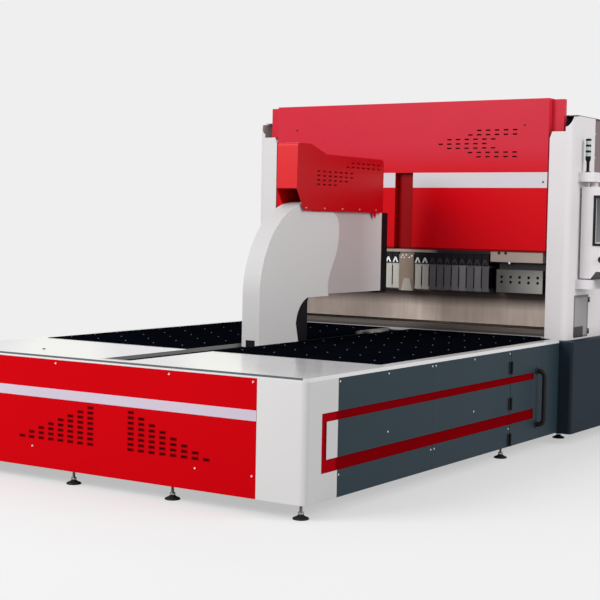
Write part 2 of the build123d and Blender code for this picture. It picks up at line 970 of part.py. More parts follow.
def column_crest():
    """Shape the head of a column cover: a low front under the press cover's tab and a rising side wall."""
    with BuildSketch(Plane.YZ.offset(throat_half)) as head:
        with BuildLine():
            Polyline(
                (press_front - overrun, column_front_top),
                (press_front + sheet, column_front_top),
                (press_front + sheet, column_shoulder),
                (press_front + column_slope_run, column_slope_top),
                (press_front + column_crest_run, column_top),
                (press_front + column_crest_run, column_top + overrun),
                (press_front - overrun, column_top + overrun),
                close=True,
            )
        make_face()
    extrude(head.sketch, amount=column_outer - throat_half, mode=Mode.SUBTRACT)
    block(
        (throat_half - overrun, throat_half + overrun),
        (press_front - overrun, press_front + column_depth),
        (column_front_top, column_top + overrun),
        Mode.SUBTRACT,
    )
    with BuildSketch(Plane.XZ.offset(-press_front)) as bevel:
        with BuildLine():
            Polyline(
                (throat_half, column_front_top),
                (throat_half + column_bevel, column_front_top),
                (throat_half, column_front_top - column_bevel_drop),
                close=True,
            )
        make_face()
    extrude(bevel.sketch, amount=-column_depth, mode=Mode.SUBTRACT)


with BuildPart() as column_upper:
    column_shell(column_seam, column_top, column_depth)
    column_crest()
keep("column_cover_right_upper", column_upper)

with BuildPart() as column_lower:
    column_shell(base_top, column_seam, column_lower_depth)
    with BuildSketch(Plane.YZ.offset(column_outer)):
        with Locations(((window_front + window_rear) / 2, (window_low + window_high) / 2)):
            RectangleRounded(window_rear - window_front, window_high - window_low, window_radius)
    extrude(amount=-overrun, mode=Mode.SUBTRACT)
keep("column_cover_right_lower", column_lower)

with BuildPart() as column_plain:
    column_shell(base_top, column_top, column_depth)
    column_crest()
keep("column_cover_left", mirrored(column_plain.part))

# Rear hood: rear wall, side walls and top over the drives, with a vent field high on the rear wall
with BuildPart() as rear_hood:
    hood_front = press_front + column_depth + seam
    block((-rear_wall, rear_wall), (hood_front, press_rear), (base_top, column_top))
    block(
        (-rear_wall + sheet, rear_wall - sheet),
        (hood_front - overrun, press_rear - sheet),
        (base_top - overrun, column_top),
        Mode.SUBTRACT,
    )
    block((-throat_half + seam, throat_half - seam), (press_rear - sheet, press_rear), (floor_gap, base_top))
    block((-column_outer, column_outer), (cover_back, press_rear), (column_top, column_top + hood_thickness))
    with BuildSketch(Plane.XZ.offset(-press_rear)):
        for side in (1, -1):
            with Locations((side * rear_vent_x, rear_vent_low + rear_vent_rows * vent_rise / 2)):
                with GridLocations(vent_pitch, vent_rise, rear_vent_columns, rear_vent_rows):
                    Rectangle(vent_length, vent_height)
    extrude(amount=overrun, both=True, mode=Mode.SUBTRACT)
keep("rear_hood", rear_hood)

# Lower bed with its dark front lip, and the polished die bar that lies on it
with BuildPart() as lower_bed:
    with BuildSketch(Plane.YZ.offset(-bed_half)):
        with BuildLine():
            Polyline(
                (bed_front, bed_bottom),
                (bed_rear, bed_bottom),
                (bed_rear, die_low),
                (die_front, die_low),
                (die_front, lip_high),
                (lip_front + lip_slope, lip_high),
                (lip_front, lip_high - lip_drop),
                (lip_front, lip_low),
                (bed_front, lip_low),
                close=True,
            )
        make_face()
    extrude(amount=2 * bed_half)
    block((-side_frame_inner, side_frame_inner), (bed_front, bed_rear), (bed_bottom, bed_shoulder))
keep("lower_bed", lower_bed)

with BuildPart() as lower_die:
    block((-bed_half, bed_half), (die_front, bed_rear), (die_low, die_high))
    chamfer(edges().filter_by(Axis.X).group_by(Axis.Z)[-1], seam)
keep("lower_die", lower_die)

# Guide rails for the upper beam and the blade carrier on the inner faces of the side frames
with BuildPart() as guide_rails:
    for limits in pair(side_frame_inner - guide_proud, side_frame_inner):
        for y, low, high in (
            (beam_guide_y, beam_guide_low, beam_guide_high),
            (blade_guide_y, blade_guide_low, blade_guide_high),
        ):
            block(limits, (y - guide_width / 2, y + guide_width / 2), (low, high))
keep("guide_rails", guide_rails)

# Crosshead between the side frames, with the two servo cylinders on top of it
bore = rod_radius + rod_gap
with BuildPart() as crosshead:
    tenon_front = press_front + column_inner_leg + seam
    block((-cover_half, cover_half), (head_front, head_rear), (head_low, head_high))
    block((-side_frame_inner, side_frame_inner), (tenon_front, head_rear), (head_low, head_high))
    for side in (1, -1):
        post(side * cylinder_x, cylinder_y, head_low - overrun, head_high + overrun, bore, Mode.SUBTRACT)
keep("crosshead", crosshead)

with BuildPart() as servo_cylinders:
    for side in (1, -1):
        top = head_high + cylinder_height
        post(side * cylinder_x, cylinder_y, head_high, top, cylinder_radius)
        post(side * cylinder_x, cylinder_y, head_high - overrun, top - cylinder_cap, bore, Mode.SUBTRACT)
keep("servo_cylinders", servo_cylinders)

with BuildPart() as cylinder_rods:
    for side in (1, -1):
        post(side * cylinder_x, cylinder_y, beam_high, beam_high + rod_length, rod_radius)
keep("cylinder_rods", cylinder_rods)

# Red press cover: a deep cassette with a centre recess, set-back end tabs and an arrow of vent slots
with BuildPart() as press_cover:
    block((-cover_half, cover_half), (press_front, cover_back), (cover_low, cover_high))
    block(
        (-cover_half + sheet, cover_half - sheet),
        (press_front + sheet, cover_back + overrun),
        (cover_low - overrun, cover_high - sheet),
        Mode.SUBTRACT,
    )
    tab_front = press_front + recess_depth
    for limits in pair(cover_half - sheet, tab_outer):
        block(limits, (tab_front, cover_back), (tab_low, tab_high))
    for limits in pair(cover_half, tab_outer - sheet):
        block(
            limits,
            (tab_front + sheet, cover_back + overrun),
            (tab_low + sheet, tab_high - sheet),
            Mode.SUBTRACT,
        )
    block(
        (-recess_half - sheet, recess_half + sheet),
        (press_front, press_front + recess_depth + sheet),
        (cover_low, press_stripe_high + sheet),
    )
    block(
        (-recess_half, recess_half),
        (press_front - overrun, press_front + recess_depth),
        (cover_low - overrun, press_stripe_high),
        Mode.SUBTRACT,
    )
    with BuildSketch(Plane.XZ.offset(-press_front)):
        for row, (start, count) in enumerate(zip(arrow_row_shares, arrow_row_counts)):
            for level in sorted({arrow_level - row * arrow_row_pitch, arrow_level + row * arrow_row_pitch}):
                for slot in range(count):
                    with Locations((arrow_tip + (start + slot) * cover_vent_pitch, level)):
                        Rectangle(vent_length, vent_height)
    extrude(amount=overrun, both=True, mode=Mode.SUBTRACT)
keep("press_cover", press_cover)

with BuildPart() as press_stripes:
    for limits in pair(recess_half, cover_half):
        block(limits, (press_front - stripe_thickness, press_front), (press_stripe_low, press_stripe_high))
keep("press_stripes", press_stripes)


# Upper beam: a deep girder with a machined tool rail below it and grooved shoes on the guide rails
def guide_shoes(start, guide_y, levels):
    """Grooved shoes that ride on an upright guide rail at each end of a moving beam."""
    groove = guide_width / 2 + running_gap
    reach = groove + shoe_lip
    for limits in pair(start, side_frame_inner - running_gap):
        for low in levels:
            block(limits, (guide_y - reach, guide_y + reach), (low, low + shoe_height))
    for limits in pair(side_frame_inner - guide_proud - running_gap, side_frame_inner):
        for low in levels:
            block(limits, (guide_y - groove, guide_y + groove), (low, low + shoe_height), Mode.SUBTRACT)


with BuildPart() as upper_beam:
    block((-beam_half, beam_half), (beam_front, beam_rear), (cover_low - running_gap, beam_high))
    block((-beam_half, beam_half), (rail_front, rail_rear), (rail_low, cover_low - running_gap))
    for limits in pair(end_bar_start, beam_half):
        block(limits, (rail_front, rail_rear), (end_bar_low, rail_low))
    guide_shoes(beam_half, beam_guide_y, beam_shoe_levels)
keep("upper_beam", upper_beam)

# Tools under the beam: notched clamps, blank holder segments, a centre segment and drilled end blocks
with BuildPart() as tool_clamps:
    for x in tool_places:
        width = tool_pitch - tool_gap
        block((x - width / 2, x + width / 2), (clamp_front, rail_rear), (tool_top, rail_low))
        middle = (tool_top + rail_low) / 2
        with BuildSketch(Plane.XZ.offset(-clamp_front)):
            with Locations((x, middle)):
                Triangle(a=width / 2, b=width / 2, c=width / 2, align=(Align.CENTER, Align.CENTER))
        extrude(amount=-clamp_notch, mode=Mode.SUBTRACT)
keep("tool_clamps", tool_clamps)

with BuildPart() as blank_holder_segments:
    for x in tool_places:
        width = tool_pitch - tool_gap
        with BuildSketch(Plane.YZ.offset(x - width / 2)):
            with BuildLine():
                Polyline(
                    (tool_front, tool_top),
                    (tool_rear, tool_top),
                    (tool_rear, tool_bottom),
                    (tool_rear - tool_nose, tool_bottom),
                    (tool_front, tool_bottom + tool_toe),
                    close=True,
                )
            make_face()
        extrude(amount=width)
keep("blank_holder_segments", blank_holder_segments)

with BuildPart() as centre_segment:
    centre_limits = (tool_shift - centre_half, tool_shift + centre_half)
    block(centre_limits, (centre_front, tool_rear), (tool_bottom, centre_top))
    block(centre_limits, (tool_front, tool_rear), (centre_top, rail_low))
    foot_x = tool_shift + foot_offset
    with BuildSketch(Plane.XZ.offset(-centre_front)):
        with BuildLine():
            Polyline(
                (foot_x - foot_half, tool_bottom),
                (foot_x + foot_half, tool_bottom),
                (foot_x + foot_top_half, tool_bottom + foot_height),
                (foot_x - foot_top_half, tool_bottom + foot_height),
                close=True,
            )
        make_face()
    extrude(amount=foot_proud)
keep("centre_segment", centre_segment)

with BuildPart() as end_blocks:
    for side, limits in zip((1, -1), pair(end_block_start, beam_half)):
        block(limits, (clamp_front, tool_rear), (end_block_low, end_block_high))
        block(limits, (neck_front, tool_rear), (end_block_high, end_bar_low))
        with BuildSketch(Plane.XZ.offset(-clamp_front)):
            for column in range(end_block_holes):
                x = side * (end_block_start + end_block_hole_inset + column * end_block_hole_pitch)
                with Locations(
                    (x, end_block_hole_level), (x, end_block_hole_level + end_block_hole_rise)
                ):
                    RegularPolygon(end_block_hole_radius, end_block_hole_sides)
        extrude(amount=-overrun, mode=Mode.SUBTRACT)
keep("end_blocks", end_blocks)

# Bending blade carrier: a C section behind the die that holds an upper and a lower blade
with BuildPart() as blade_carrier:
    with BuildSketch(Plane.YZ.offset(-carrier_half)):
        with BuildLine():
            Polyline(
                (carrier_front + blade_depth, carrier_low),
                (carrier_rear, carrier_low),
                (carrier_rear, carrier_high),
                (carrier_front, carrier_high),
                (carrier_front, blade_gap_high),
                (carrier_front + blade_depth / 2, blade_gap_high),
                (carrier_front + blade_depth, jaw_high),
                (carrier_web, jaw_high),
                (carrier_web, jaw_low),
                (carrier_front + blade_depth, jaw_low),
                (carrier_front + blade_depth / 2, blade_gap_low),
                (carrier_front, blade_gap_low),
                (carrier_front, jaw_low - blade_depth),
                (carrier_front + blade_depth, jaw_low - 2 * blade_depth),
                close=True,
            )
        make_face()
    extrude(amount=2 * carrier_half)
    guide_shoes(carrier_half, blade_guide_y, carrier_shoe_levels)
keep("blade_carrier", blade_carrier)


# Manipulator C frame: spine, upper arm over the table, lower arm under it and carriages on the feed rails
def arm_front_line(inset, low):
    """The front edge of the arm in the current line: an upright foot and a quarter ellipse to the crown."""
    front = Line((arm_front + inset, low), (arm_front + inset, arm_shoulder))
    EllipticalCenterArc(
        (arm_crown_y, arm_shoulder),
        arm_crown_y - arm_front - inset,
        arm_top - arm_shoulder - inset,
        start_angle=90,
        arc_size=90,
    )
    return front


with BuildPart() as c_frame:
    with BuildSketch(Plane.YZ):
        with BuildLine():
            arm_front_line(spine_inset, lower_arm_low)
            Polyline(
                (arm_crown_y, arm_top - spine_inset),
                (arm_crown_y, arm_lid),
                (spine_step, arm_lid),
                (spine_step, nose_low + sheet),
                (spine_rear, nose_low + sheet),
                (spine_rear, lower_arm_low),
                (arm_front + spine_inset, lower_arm_low),
            )
        make_face()
    extrude(amount=spine_half, both=True)
    block((-nose_core, nose_core), (spine_step, housing_front), (nose_low + sheet, nose_high - sheet))
    block((-nose_core, nose_core), (spine_rear, lower_arm_end), (lower_arm_low, lower_arm_high))
    fillet(edges().filter_by(Axis.X).sort_by_distance((0, spine_rear, nose_low + sheet))[0], spine_bend)
    block((-notch_half, notch_half), (arm_front, arm_front + spine_inset), (lower_arm_high, notch_high))
    for limits in pair(nose_core, guide_face - running_gap):
        for share in carriage_shares:
            start = arm_front + share * (lower_arm_end - arm_front)
            block(
                limits,
                (start, start + carriage_length),
                (rail_level - carriage_lip, rail_level + rail_height + carriage_lip),
            )
    for limits in pair(guide_face - rail_proud - running_gap, guide_face):
        block(
            limits,
            (arm_front, lower_arm_end),
            (rail_level - running_gap, rail_level + rail_height + running_gap),
            Mode.SUBTRACT,
        )
    bore = table_rotor_pin_radius + pivot_gap
    post(0, housing_y, table_rotor_seat, lower_arm_high + overrun, bore, Mode.SUBTRACT)
keep("c_frame", c_frame)

# White arm cover: two side plates with a waved rear edge and a bent front strip, open to the rear and below
with BuildPart() as arm_cover:
    wave_height = arm_lid - throat_roof
    wave_span = wave_crest_y - wave_root_y
    wave = [(wave_root_y + run * wave_span, throat_roof + rise * wave_height) for run, rise in wave_shares]
    with BuildSketch(Plane.YZ):
        with BuildLine():
            arm_front_line(0, arm_bottom)
            Polyline((arm_crown_y, arm_top), (arm_crown_y, arm_lid), (wave_top_y, arm_lid))
            Spline((wave_top_y, arm_lid), *reversed(wave), (wave_root_y, throat_roof))
            Line((wave_root_y, throat_roof), (throat_roof_y, throat_roof))
            waist = (arm_waist_y, arm_waist)
            ThreePointArc((throat_roof_y, throat_roof), (throat_bend_y, throat_bend), waist)
            Polyline(waist, (arm_base_rear, arm_bottom), (arm_front, arm_bottom))
        make_face()
    extrude(amount=arm_half, both=True)
    with BuildSketch(Plane.YZ):
        with BuildLine():
            arm_front_line(sheet, arm_bottom - overrun)
            Polyline(
                (arm_crown_y, arm_top - sheet),
                (wave_crest_y + overrun, arm_top - sheet),
                (wave_crest_y + overrun, arm_bottom - overrun),
                (arm_front + sheet, arm_bottom - overrun),
            )
        make_face()
    extrude(amount=spine_half, both=True, mode=Mode.SUBTRACT)
    block(
        (-notch_half - seam, notch_half + seam),
        (arm_front - overrun, arm_front + overrun),
        (arm_bottom - overrun, notch_high + seam),
        Mode.SUBTRACT,
    )
keep("arm_cover", arm_cover)

with BuildPart() as nose_cover:
    block((-nose_half, nose_half), (nose_start, nose_end), (nose_low, nose_high))
    block(
        (-nose_core, nose_core),
        (nose_start - overrun, nose_end + overrun),
        (nose_low + sheet, nose_high - sheet),
        Mode.SUBTRACT,
    )
keep("nose_cover", nose_cover)

# Ram housing at the end of the arm, the clamp ram in it and the two rotary clamps
with BuildPart() as ram_housing:
    block((-housing_half, housing_half), (housing_front, housing_end), (housing_low, housing_high))
    fillet(edges().filter_by(Axis.Z).group_by(Axis.Y)[-1], housing_edge)
    post(0, housing_y, housing_low - overrun, ram_top + overrun, ram_radius + ram_gap, Mode.SUBTRACT)
keep("ram_housing", ram_housing)

with BuildPart() as clamp_ram:
    post(0, housing_y, housing_low, ram_top, ram_radius)
    post(0, housing_y, housing_low - rotor_pin_length, housing_low, rotor_pin_radius)
keep("clamp_ram", clamp_ram)

with BuildPart() as upper_rotor:
    post(0, housing_y, rotor_low, housing_low - running_gap, rotor_radius)
    bore = rotor_pin_radius + pivot_gap
    post(0, housing_y, housing_low - rotor_pin_length - running_gap, housing_low, bore, Mode.SUBTRACT)
keep("upper_rotor", upper_rotor)

with BuildPart() as lower_rotor:
    post(0, housing_y, table_rotor_low, table_rotor_high, table_rotor_radius)
    post(0, housing_y, table_rotor_seat, table_rotor_low, table_rotor_pin_radius)
keep("lower_rotor", lower_rotor)

# Red motor cover over the arm: a folded hood with an open chin and rows of vent slots on both sides
with BuildPart() as motor_cover:
    motor_plane = Plane.YZ.offset(motor_shift)
    with BuildSketch(motor_plane) as motor_outline:
        with BuildLine():
            Polyline(
                (motor_toe_y, motor_low),
                (motor_end, motor_low),
                (motor_end, motor_back),
                (motor_step_y, motor_back),
                (motor_brow_end, motor_brow),
                (motor_front, motor_brow),
                (motor_chin_y, motor_chin),
                close=True,
            )
        make_face()
        fillet(vertices().group_by(Axis.Y)[-1], motor_radius / 2)
        fillet(vertices().group_by(Axis.X)[-1].sort_by(Axis.Y)[-1], motor_radius)
    extrude(amount=motor_half, both=True)
    with BuildSketch(motor_plane):
        add(motor_outline.sketch_local)
        offset(amount=-sheet, mode=Mode.REPLACE)
    extrude(amount=motor_half - sheet, both=True, mode=Mode.SUBTRACT)
    with BuildSketch(motor_plane):
        with BuildLine():
            Polyline(
                (motor_chin_y - overrun, motor_chin - sheet),
                (motor_toe_y, motor_chin - sheet),
                (motor_floor_start, motor_low + overrun),
                (motor_floor_start, motor_low - overrun),
                (motor_chin_y - overrun, motor_low - overrun),
                close=True,
            )
        make_face()
    extrude(amount=motor_half - sheet, both=True, mode=Mode.SUBTRACT)
    with BuildSketch(motor_plane):
        for shares, start, low in (
            (motor_upper_shares, motor_upper_vent_y, motor_upper_vent_low),
            (motor_lower_shares, motor_lower_vent_y, motor_lower_vent_low),
        ):
            for row, (first, count) in enumerate(shares):
                for slot in range(first, first + count):
                    with Locations((start + slot * cover_vent_pitch, low + row * vent_rise)):
                        Rectangle(vent_length, vent_height)
    extrude(amount=motor_half + overrun, both=True, mode=Mode.SUBTRACT)
keep("motor_cover", motor_cover)

# Console brackets on the right column, with blind pivot seats
with BuildPart() as console_brackets:
    for low in (lower_bracket_low, upper_bracket_low):
        block((column_outer, bracket_outer), (bracket_front, bracket_rear), (low, low + bracket_height))
    fillet(edges().filter_by(Axis.Z).group_by(Axis.X)[-1], bracket_edge)
    lower_top = lower_bracket_low + bracket_height
    upper_seat = upper_bracket_low + pivot_depth + running_gap
    bore = pivot_radius + pivot_gap
    post(pivot_x, pivot_y, lower_top - pivot_depth, lower_top + overrun, bore, Mode.SUBTRACT)
    post(pivot_x, pivot_y, upper_bracket_low - overrun, upper_seat, bore, Mode.SUBTRACT)
keep("console_brackets", console_brackets)

# Swinging console: a housing with a cut lower corner, a dark tray in the cut, a screen and a push button
with BuildPart() as console_housing:
    with BuildSketch(Plane.XZ.offset(-console_front)):
        with BuildLine():
            Polyline(
                (console_left, console_low),
                (console_cut_x, console_low),
                (console_cut_x + console_cut_run, console_cut_high),
                (console_right, console_cut_high),
                (console_right, console_high),
                (console_left, console_high),
                close=True,
            )
        make_face()
        fillet(vertices().group_by(Axis.Y)[-1], console_edge)
    extrude(amount=-console_depth)
    block(
        (screen_left, screen_right),
        (console_front - overrun, console_front + screen_inset + screen_glass),
        (screen_low, screen_high),
        Mode.SUBTRACT,
    )
    hole_depth = button_travel + button_stem + running_gap
    with Locations((button_x, console_front + hole_depth / 2, button_level)):
        Cylinder(button_radius / 2 + pivot_gap, hole_depth, rotation=(90, 0, 0), mode=Mode.SUBTRACT)
    prism(pivot_x, pivot_y, console_high, upper_bracket_low, pivot_boss_radius, pivot_boss_sides)
    prism(pivot_x, pivot_y, lower_top, console_low, pivot_boss_radius, pivot_boss_sides)
    post(pivot_x, pivot_y, console_high, upper_bracket_low + pivot_depth, pivot_radius)
    post(pivot_x, pivot_y, lower_top - pivot_depth, console_low, pivot_radius)
keep("console_housing", console_housing)

with BuildPart() as console_tray:
    with BuildSketch(Plane.XZ.offset(-console_front)):
        with BuildLine():
            Polyline(
                (console_cut_x, console_low),
                (console_right, console_low),
                (console_right, console_cut_high),
                (console_cut_x + console_cut_run, console_cut_high),
                close=True,
            )
        make_face()
    extrude(amount=-console_depth)
    chamfer(edges().filter_by(Axis.X).group_by(Axis.Z)[0].sort_by(Axis.Y)[0], bracket_edge)
keep("console_tray", console_tray)

with BuildPart() as console_screen:
    block(
        (screen_left, screen_right),
        (console_front + screen_inset, console_front + screen_inset + screen_glass),
        (screen_low, screen_high),
    )
keep("console_screen", console_screen)

with BuildPart() as console_button:
    with BuildSketch(Plane.XZ.offset(-(console_front - button_travel - running_gap))):
        with Locations((button_x, button_level)):
            RegularPolygon(button_radius, button_sides)
    extrude(amount=button_height - button_travel)
    with BuildSketch(Plane.XZ.offset(-(console_front - button_travel - running_gap))):
        with Locations((button_x, button_level)):
            Circle(button_radius / 2)
    extrude(amount=-(button_travel + button_stem))
keep("console_button", console_button)

# Stack light on the upper bracket: a waisted pole, then lenses and black rings stacked on each other
lens_levels = [light_base + light_collar + step * (light_lens + light_ring) for step in range(light_count)]
with BuildPart() as stack_light_body:
    pole_top = light_base + light_pole_height
    shoulder = light_base + light_shoulder
    prism(light_x, light_y, light_base, light_base + light_foot_height, light_foot_radius, light_sides)
    prism(light_x, light_y, light_base, pole_top, light_pole_radius, light_sides)
    cone(light_x, light_y, pole_top, shoulder, light_pole_radius, light_radius, light_sides)
    prism(light_x, light_y, shoulder, light_base + light_collar, light_radius, light_sides)
    for level in lens_levels:
        ring = level + light_lens
        prism(light_x, light_y, ring, ring + light_ring, light_radius, light_sides)
keep("stack_light_body", stack_light_body)

with BuildPart() as stack_light_lenses:
    for level in lens_levels:
        prism(light_x, light_y, level, level + light_lens, light_radius - running_gap, light_sides)
keep("stack_light_lenses", stack_light_lenses)

# Oil pump on the side frame behind the window, and the hinged window pane
with BuildPart() as oil_pump:
    seat = shelf_levels[0] + shelf_thickness
    block((side_frame_outer, side_frame_outer + pump_width), (pump_front, pump_rear), (seat, pump_split))
    block(
        (side_frame_outer, side_frame_outer + pump_width - pump_edge),
        (pump_front + pump_edge, pump_rear - pump_edge),
        (pump_split, pump_high),
    )
    post(
        side_frame_outer + pump_width / 2,
        (pump_front + pump_rear) / 2,
        pump_high,
        pump_high + pump_neck_height,
        pump_neck_radius,
    )
keep("oil_pump", oil_pump)

hinge_lows = (window_low + window_hinge_inset, window_high - window_hinge_inset - window_hinge_height)
window_hinge_x = column_outer + window_hinge_radius + running_gap
with BuildPart() as window_hinges:
    for low in hinge_lows:
        high = low + window_hinge_height
        prism(window_hinge_x, window_hinge_y, low, (low + high) / 2, window_hinge_radius, window_hinge_sides)
        post(window_hinge_x, window_hinge_y, low, high, window_hinge_pin)
        block(
            (column_outer, window_hinge_x),
            (window_hinge_y, window_hinge_y + 2 * window_hinge_radius),
            (low, (low + high) / 2),
        )
keep("window_hinges", window_hinges)

with BuildPart() as window_door:
    pane_x = column_outer + window_offset
    block(
        (pane_x, pane_x + window_pane),
        (window_front - window_lap, window_hinge_y - window_hinge_radius - seam),
        (window_low - window_lap, window_high + window_lap),
    )
    fillet(edges().filter_by(Axis.X).group_by(Axis.Y)[0], window_radius)
    for low in hinge_lows:
        high = low + window_hinge_height
        block(
            (pane_x, pane_x + window_pane),
            (window_hinge_y - window_hinge_radius - seam, window_hinge_y),
            ((low + high) / 2 + running_gap, high),
        )
        knuckle = (low + high) / 2 + running_gap
        prism(window_hinge_x, window_hinge_y, knuckle, high, window_hinge_radius, window_hinge_sides)
        bore = window_hinge_pin + pivot_gap
        post(window_hinge_x, window_hinge_y, low - overrun, high + overrun, bore, Mode.SUBTRACT)
keep("window_door", window_door)

# Move the machine so that its frame stands at the bottom centre of its box, and write one file for each piece
os.makedirs("parts", exist_ok=True)
machine = Compound(children=[Compound(piece.solids()) for piece in pieces.values()]).bounding_box()
middle = machine.center()
to_frame = Location((-middle.X, -middle.Y, -machine.min.Z))
for name, piece in pieces.items():
    placed = piece.moved(to_frame)
    placed.label = name
    export_step(placed, f"parts/{name}.step")
print("frame moved by", to_frame.position)
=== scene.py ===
"""Finishes, fittings and studio for a sheet metal bending centre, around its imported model."""

import json
import math

import bmesh
import bpy
from mathutils import Matrix, Vector


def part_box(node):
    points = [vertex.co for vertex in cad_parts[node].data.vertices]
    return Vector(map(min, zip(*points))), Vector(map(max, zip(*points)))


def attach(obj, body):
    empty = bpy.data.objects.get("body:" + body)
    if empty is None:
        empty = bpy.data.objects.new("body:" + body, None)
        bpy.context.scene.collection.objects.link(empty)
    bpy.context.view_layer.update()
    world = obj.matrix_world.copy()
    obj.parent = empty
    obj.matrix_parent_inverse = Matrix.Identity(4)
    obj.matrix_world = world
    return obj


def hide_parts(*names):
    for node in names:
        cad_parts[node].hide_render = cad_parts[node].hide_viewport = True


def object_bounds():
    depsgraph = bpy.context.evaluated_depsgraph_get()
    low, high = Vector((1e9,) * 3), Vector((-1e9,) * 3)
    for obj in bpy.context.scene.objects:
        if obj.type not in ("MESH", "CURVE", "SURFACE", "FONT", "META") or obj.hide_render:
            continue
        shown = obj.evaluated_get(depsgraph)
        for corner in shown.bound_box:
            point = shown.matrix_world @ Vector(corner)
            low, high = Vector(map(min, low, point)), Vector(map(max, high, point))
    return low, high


bl_info = {
    "name": "Bending Centre Finish",
    "version": (1, 0, 0),
    "blender": (4, 5, 0),
    "location": "View3D > Sidebar > Bending Centre",
    "description": "Paint, steel, fittings and studio for a sheet metal bending centre",
    "category": "Object",
}

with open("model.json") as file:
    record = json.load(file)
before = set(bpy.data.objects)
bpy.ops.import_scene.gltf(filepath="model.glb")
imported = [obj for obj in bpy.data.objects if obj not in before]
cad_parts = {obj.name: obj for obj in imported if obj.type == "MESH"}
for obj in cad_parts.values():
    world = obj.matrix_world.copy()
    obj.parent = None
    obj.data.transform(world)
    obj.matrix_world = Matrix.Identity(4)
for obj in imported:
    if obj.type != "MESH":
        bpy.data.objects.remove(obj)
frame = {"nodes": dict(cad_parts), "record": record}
cad_box = [list(corner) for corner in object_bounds()]

UP = Vector((0, 0, 1))
FORWARD = Vector((0, -1, 0))
SIDE = Vector((1, 0, 0))
FAR = 100.0
PLATE_LOW, PLATE_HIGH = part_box("top_plate")
CENTRE_X = (PLATE_LOW.x + PLATE_HIGH.x) / 2
SLOT_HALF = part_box("brush_table_right")[0].x - CENTRE_X + 0.0006

# The front panel's vent slots: the fields' middle, first column, lowest row, pitch, shaded half and count.
VENT_SHIFT, VENT_FIRST, VENT_LEVEL = 0.036, 0.17, 0.294
VENT_PITCH_X, VENT_PITCH_Z = 0.086, 0.034
VENT_HALF_X, VENT_HALF_Z = 0.027, 0.011
VENT_COUNT = 8

# The rear hood's door joints and flush locks.
HOOD_JOINT_X, HOOD_JOINT_RISE = 0.514, 1.645
LOCK_X, LOCK_LEVEL, LOCK_RISE, LOCK_RADIUS = 0.57, 0.95, 0.4, 0.016

# Tones that a surface takes in one place only.
# Painted reflection: pale warm patches where the top plate would mirror bright light.
PLATE_REFLECTION_PATCH = (0.76, 0.76, 0.7, 1)
PLATE_RIM = (0.74, 0.74, 0.75, 1)
# Painted reflection: a dark line along the top of the plate's front edge.
PLATE_EDGE_REFLECTION = (0.1, 0.11, 0.12, 1)
# Painted light: a bluish tint for the shaded tool segments and a warm tint for the lit segments near the
# middle.
SHADED_STEEL_TINT = (0.88, 0.86, 1.0, 1)
LIT_STEEL_TINT = (1, 1, 0.95, 1)
CENTRE_FOOT = (0.4, 0.365, 0.33, 1)
# Painted light: the channel red as lit at the white corners.
LIT_CHANNEL_RED = (0.36, 0.002, 0.007, 1)
PANEL_JOINT = (0.01, 0.012, 0.015, 1)
HOOD_JOINT = (0.02, 0.016, 0.016, 1)
# Painted shadow: the beam's shadow on the blade carrier.
BLADE_SHADOW = (0.07, 0.048, 0.042, 1)
# Painted shade: the tool rail in the shade under the press cover.
BEAM_RAIL_SHADE = (0.012, 0.011, 0.018, 1)
BED_EDGE = (0.38, 0.36, 0.35, 1)
GASKET = (0.17, 0.16, 0.165, 1)
PUMP_BLOCK = (0.014, 0.012, 0.013, 1)


def colour_property(name, description, default):
    """A colour that a user may change."""
    return bpy.props.FloatVectorProperty(
        name=name, description=description, default=default, subtype="COLOR", size=3, min=0, max=1
    )


def length_property(name, description, default):
    """A length in metres that a user may change."""
    return bpy.props.FloatProperty(
        name=name, description=description, default=default, unit="LENGTH", min=0, precision=4
    )


def angle_property(name, description, degrees):
    """An angle that a user may change."""
    return bpy.props.FloatProperty(
        name=name, description=description, default=math.radians(degrees), subtype="ANGLE"
    )


def power_property(name, description, watts):
    """A lamp's power that a user may change."""
    return bpy.props.FloatProperty(name=name, description=description, default=watts, min=0, unit="POWER")


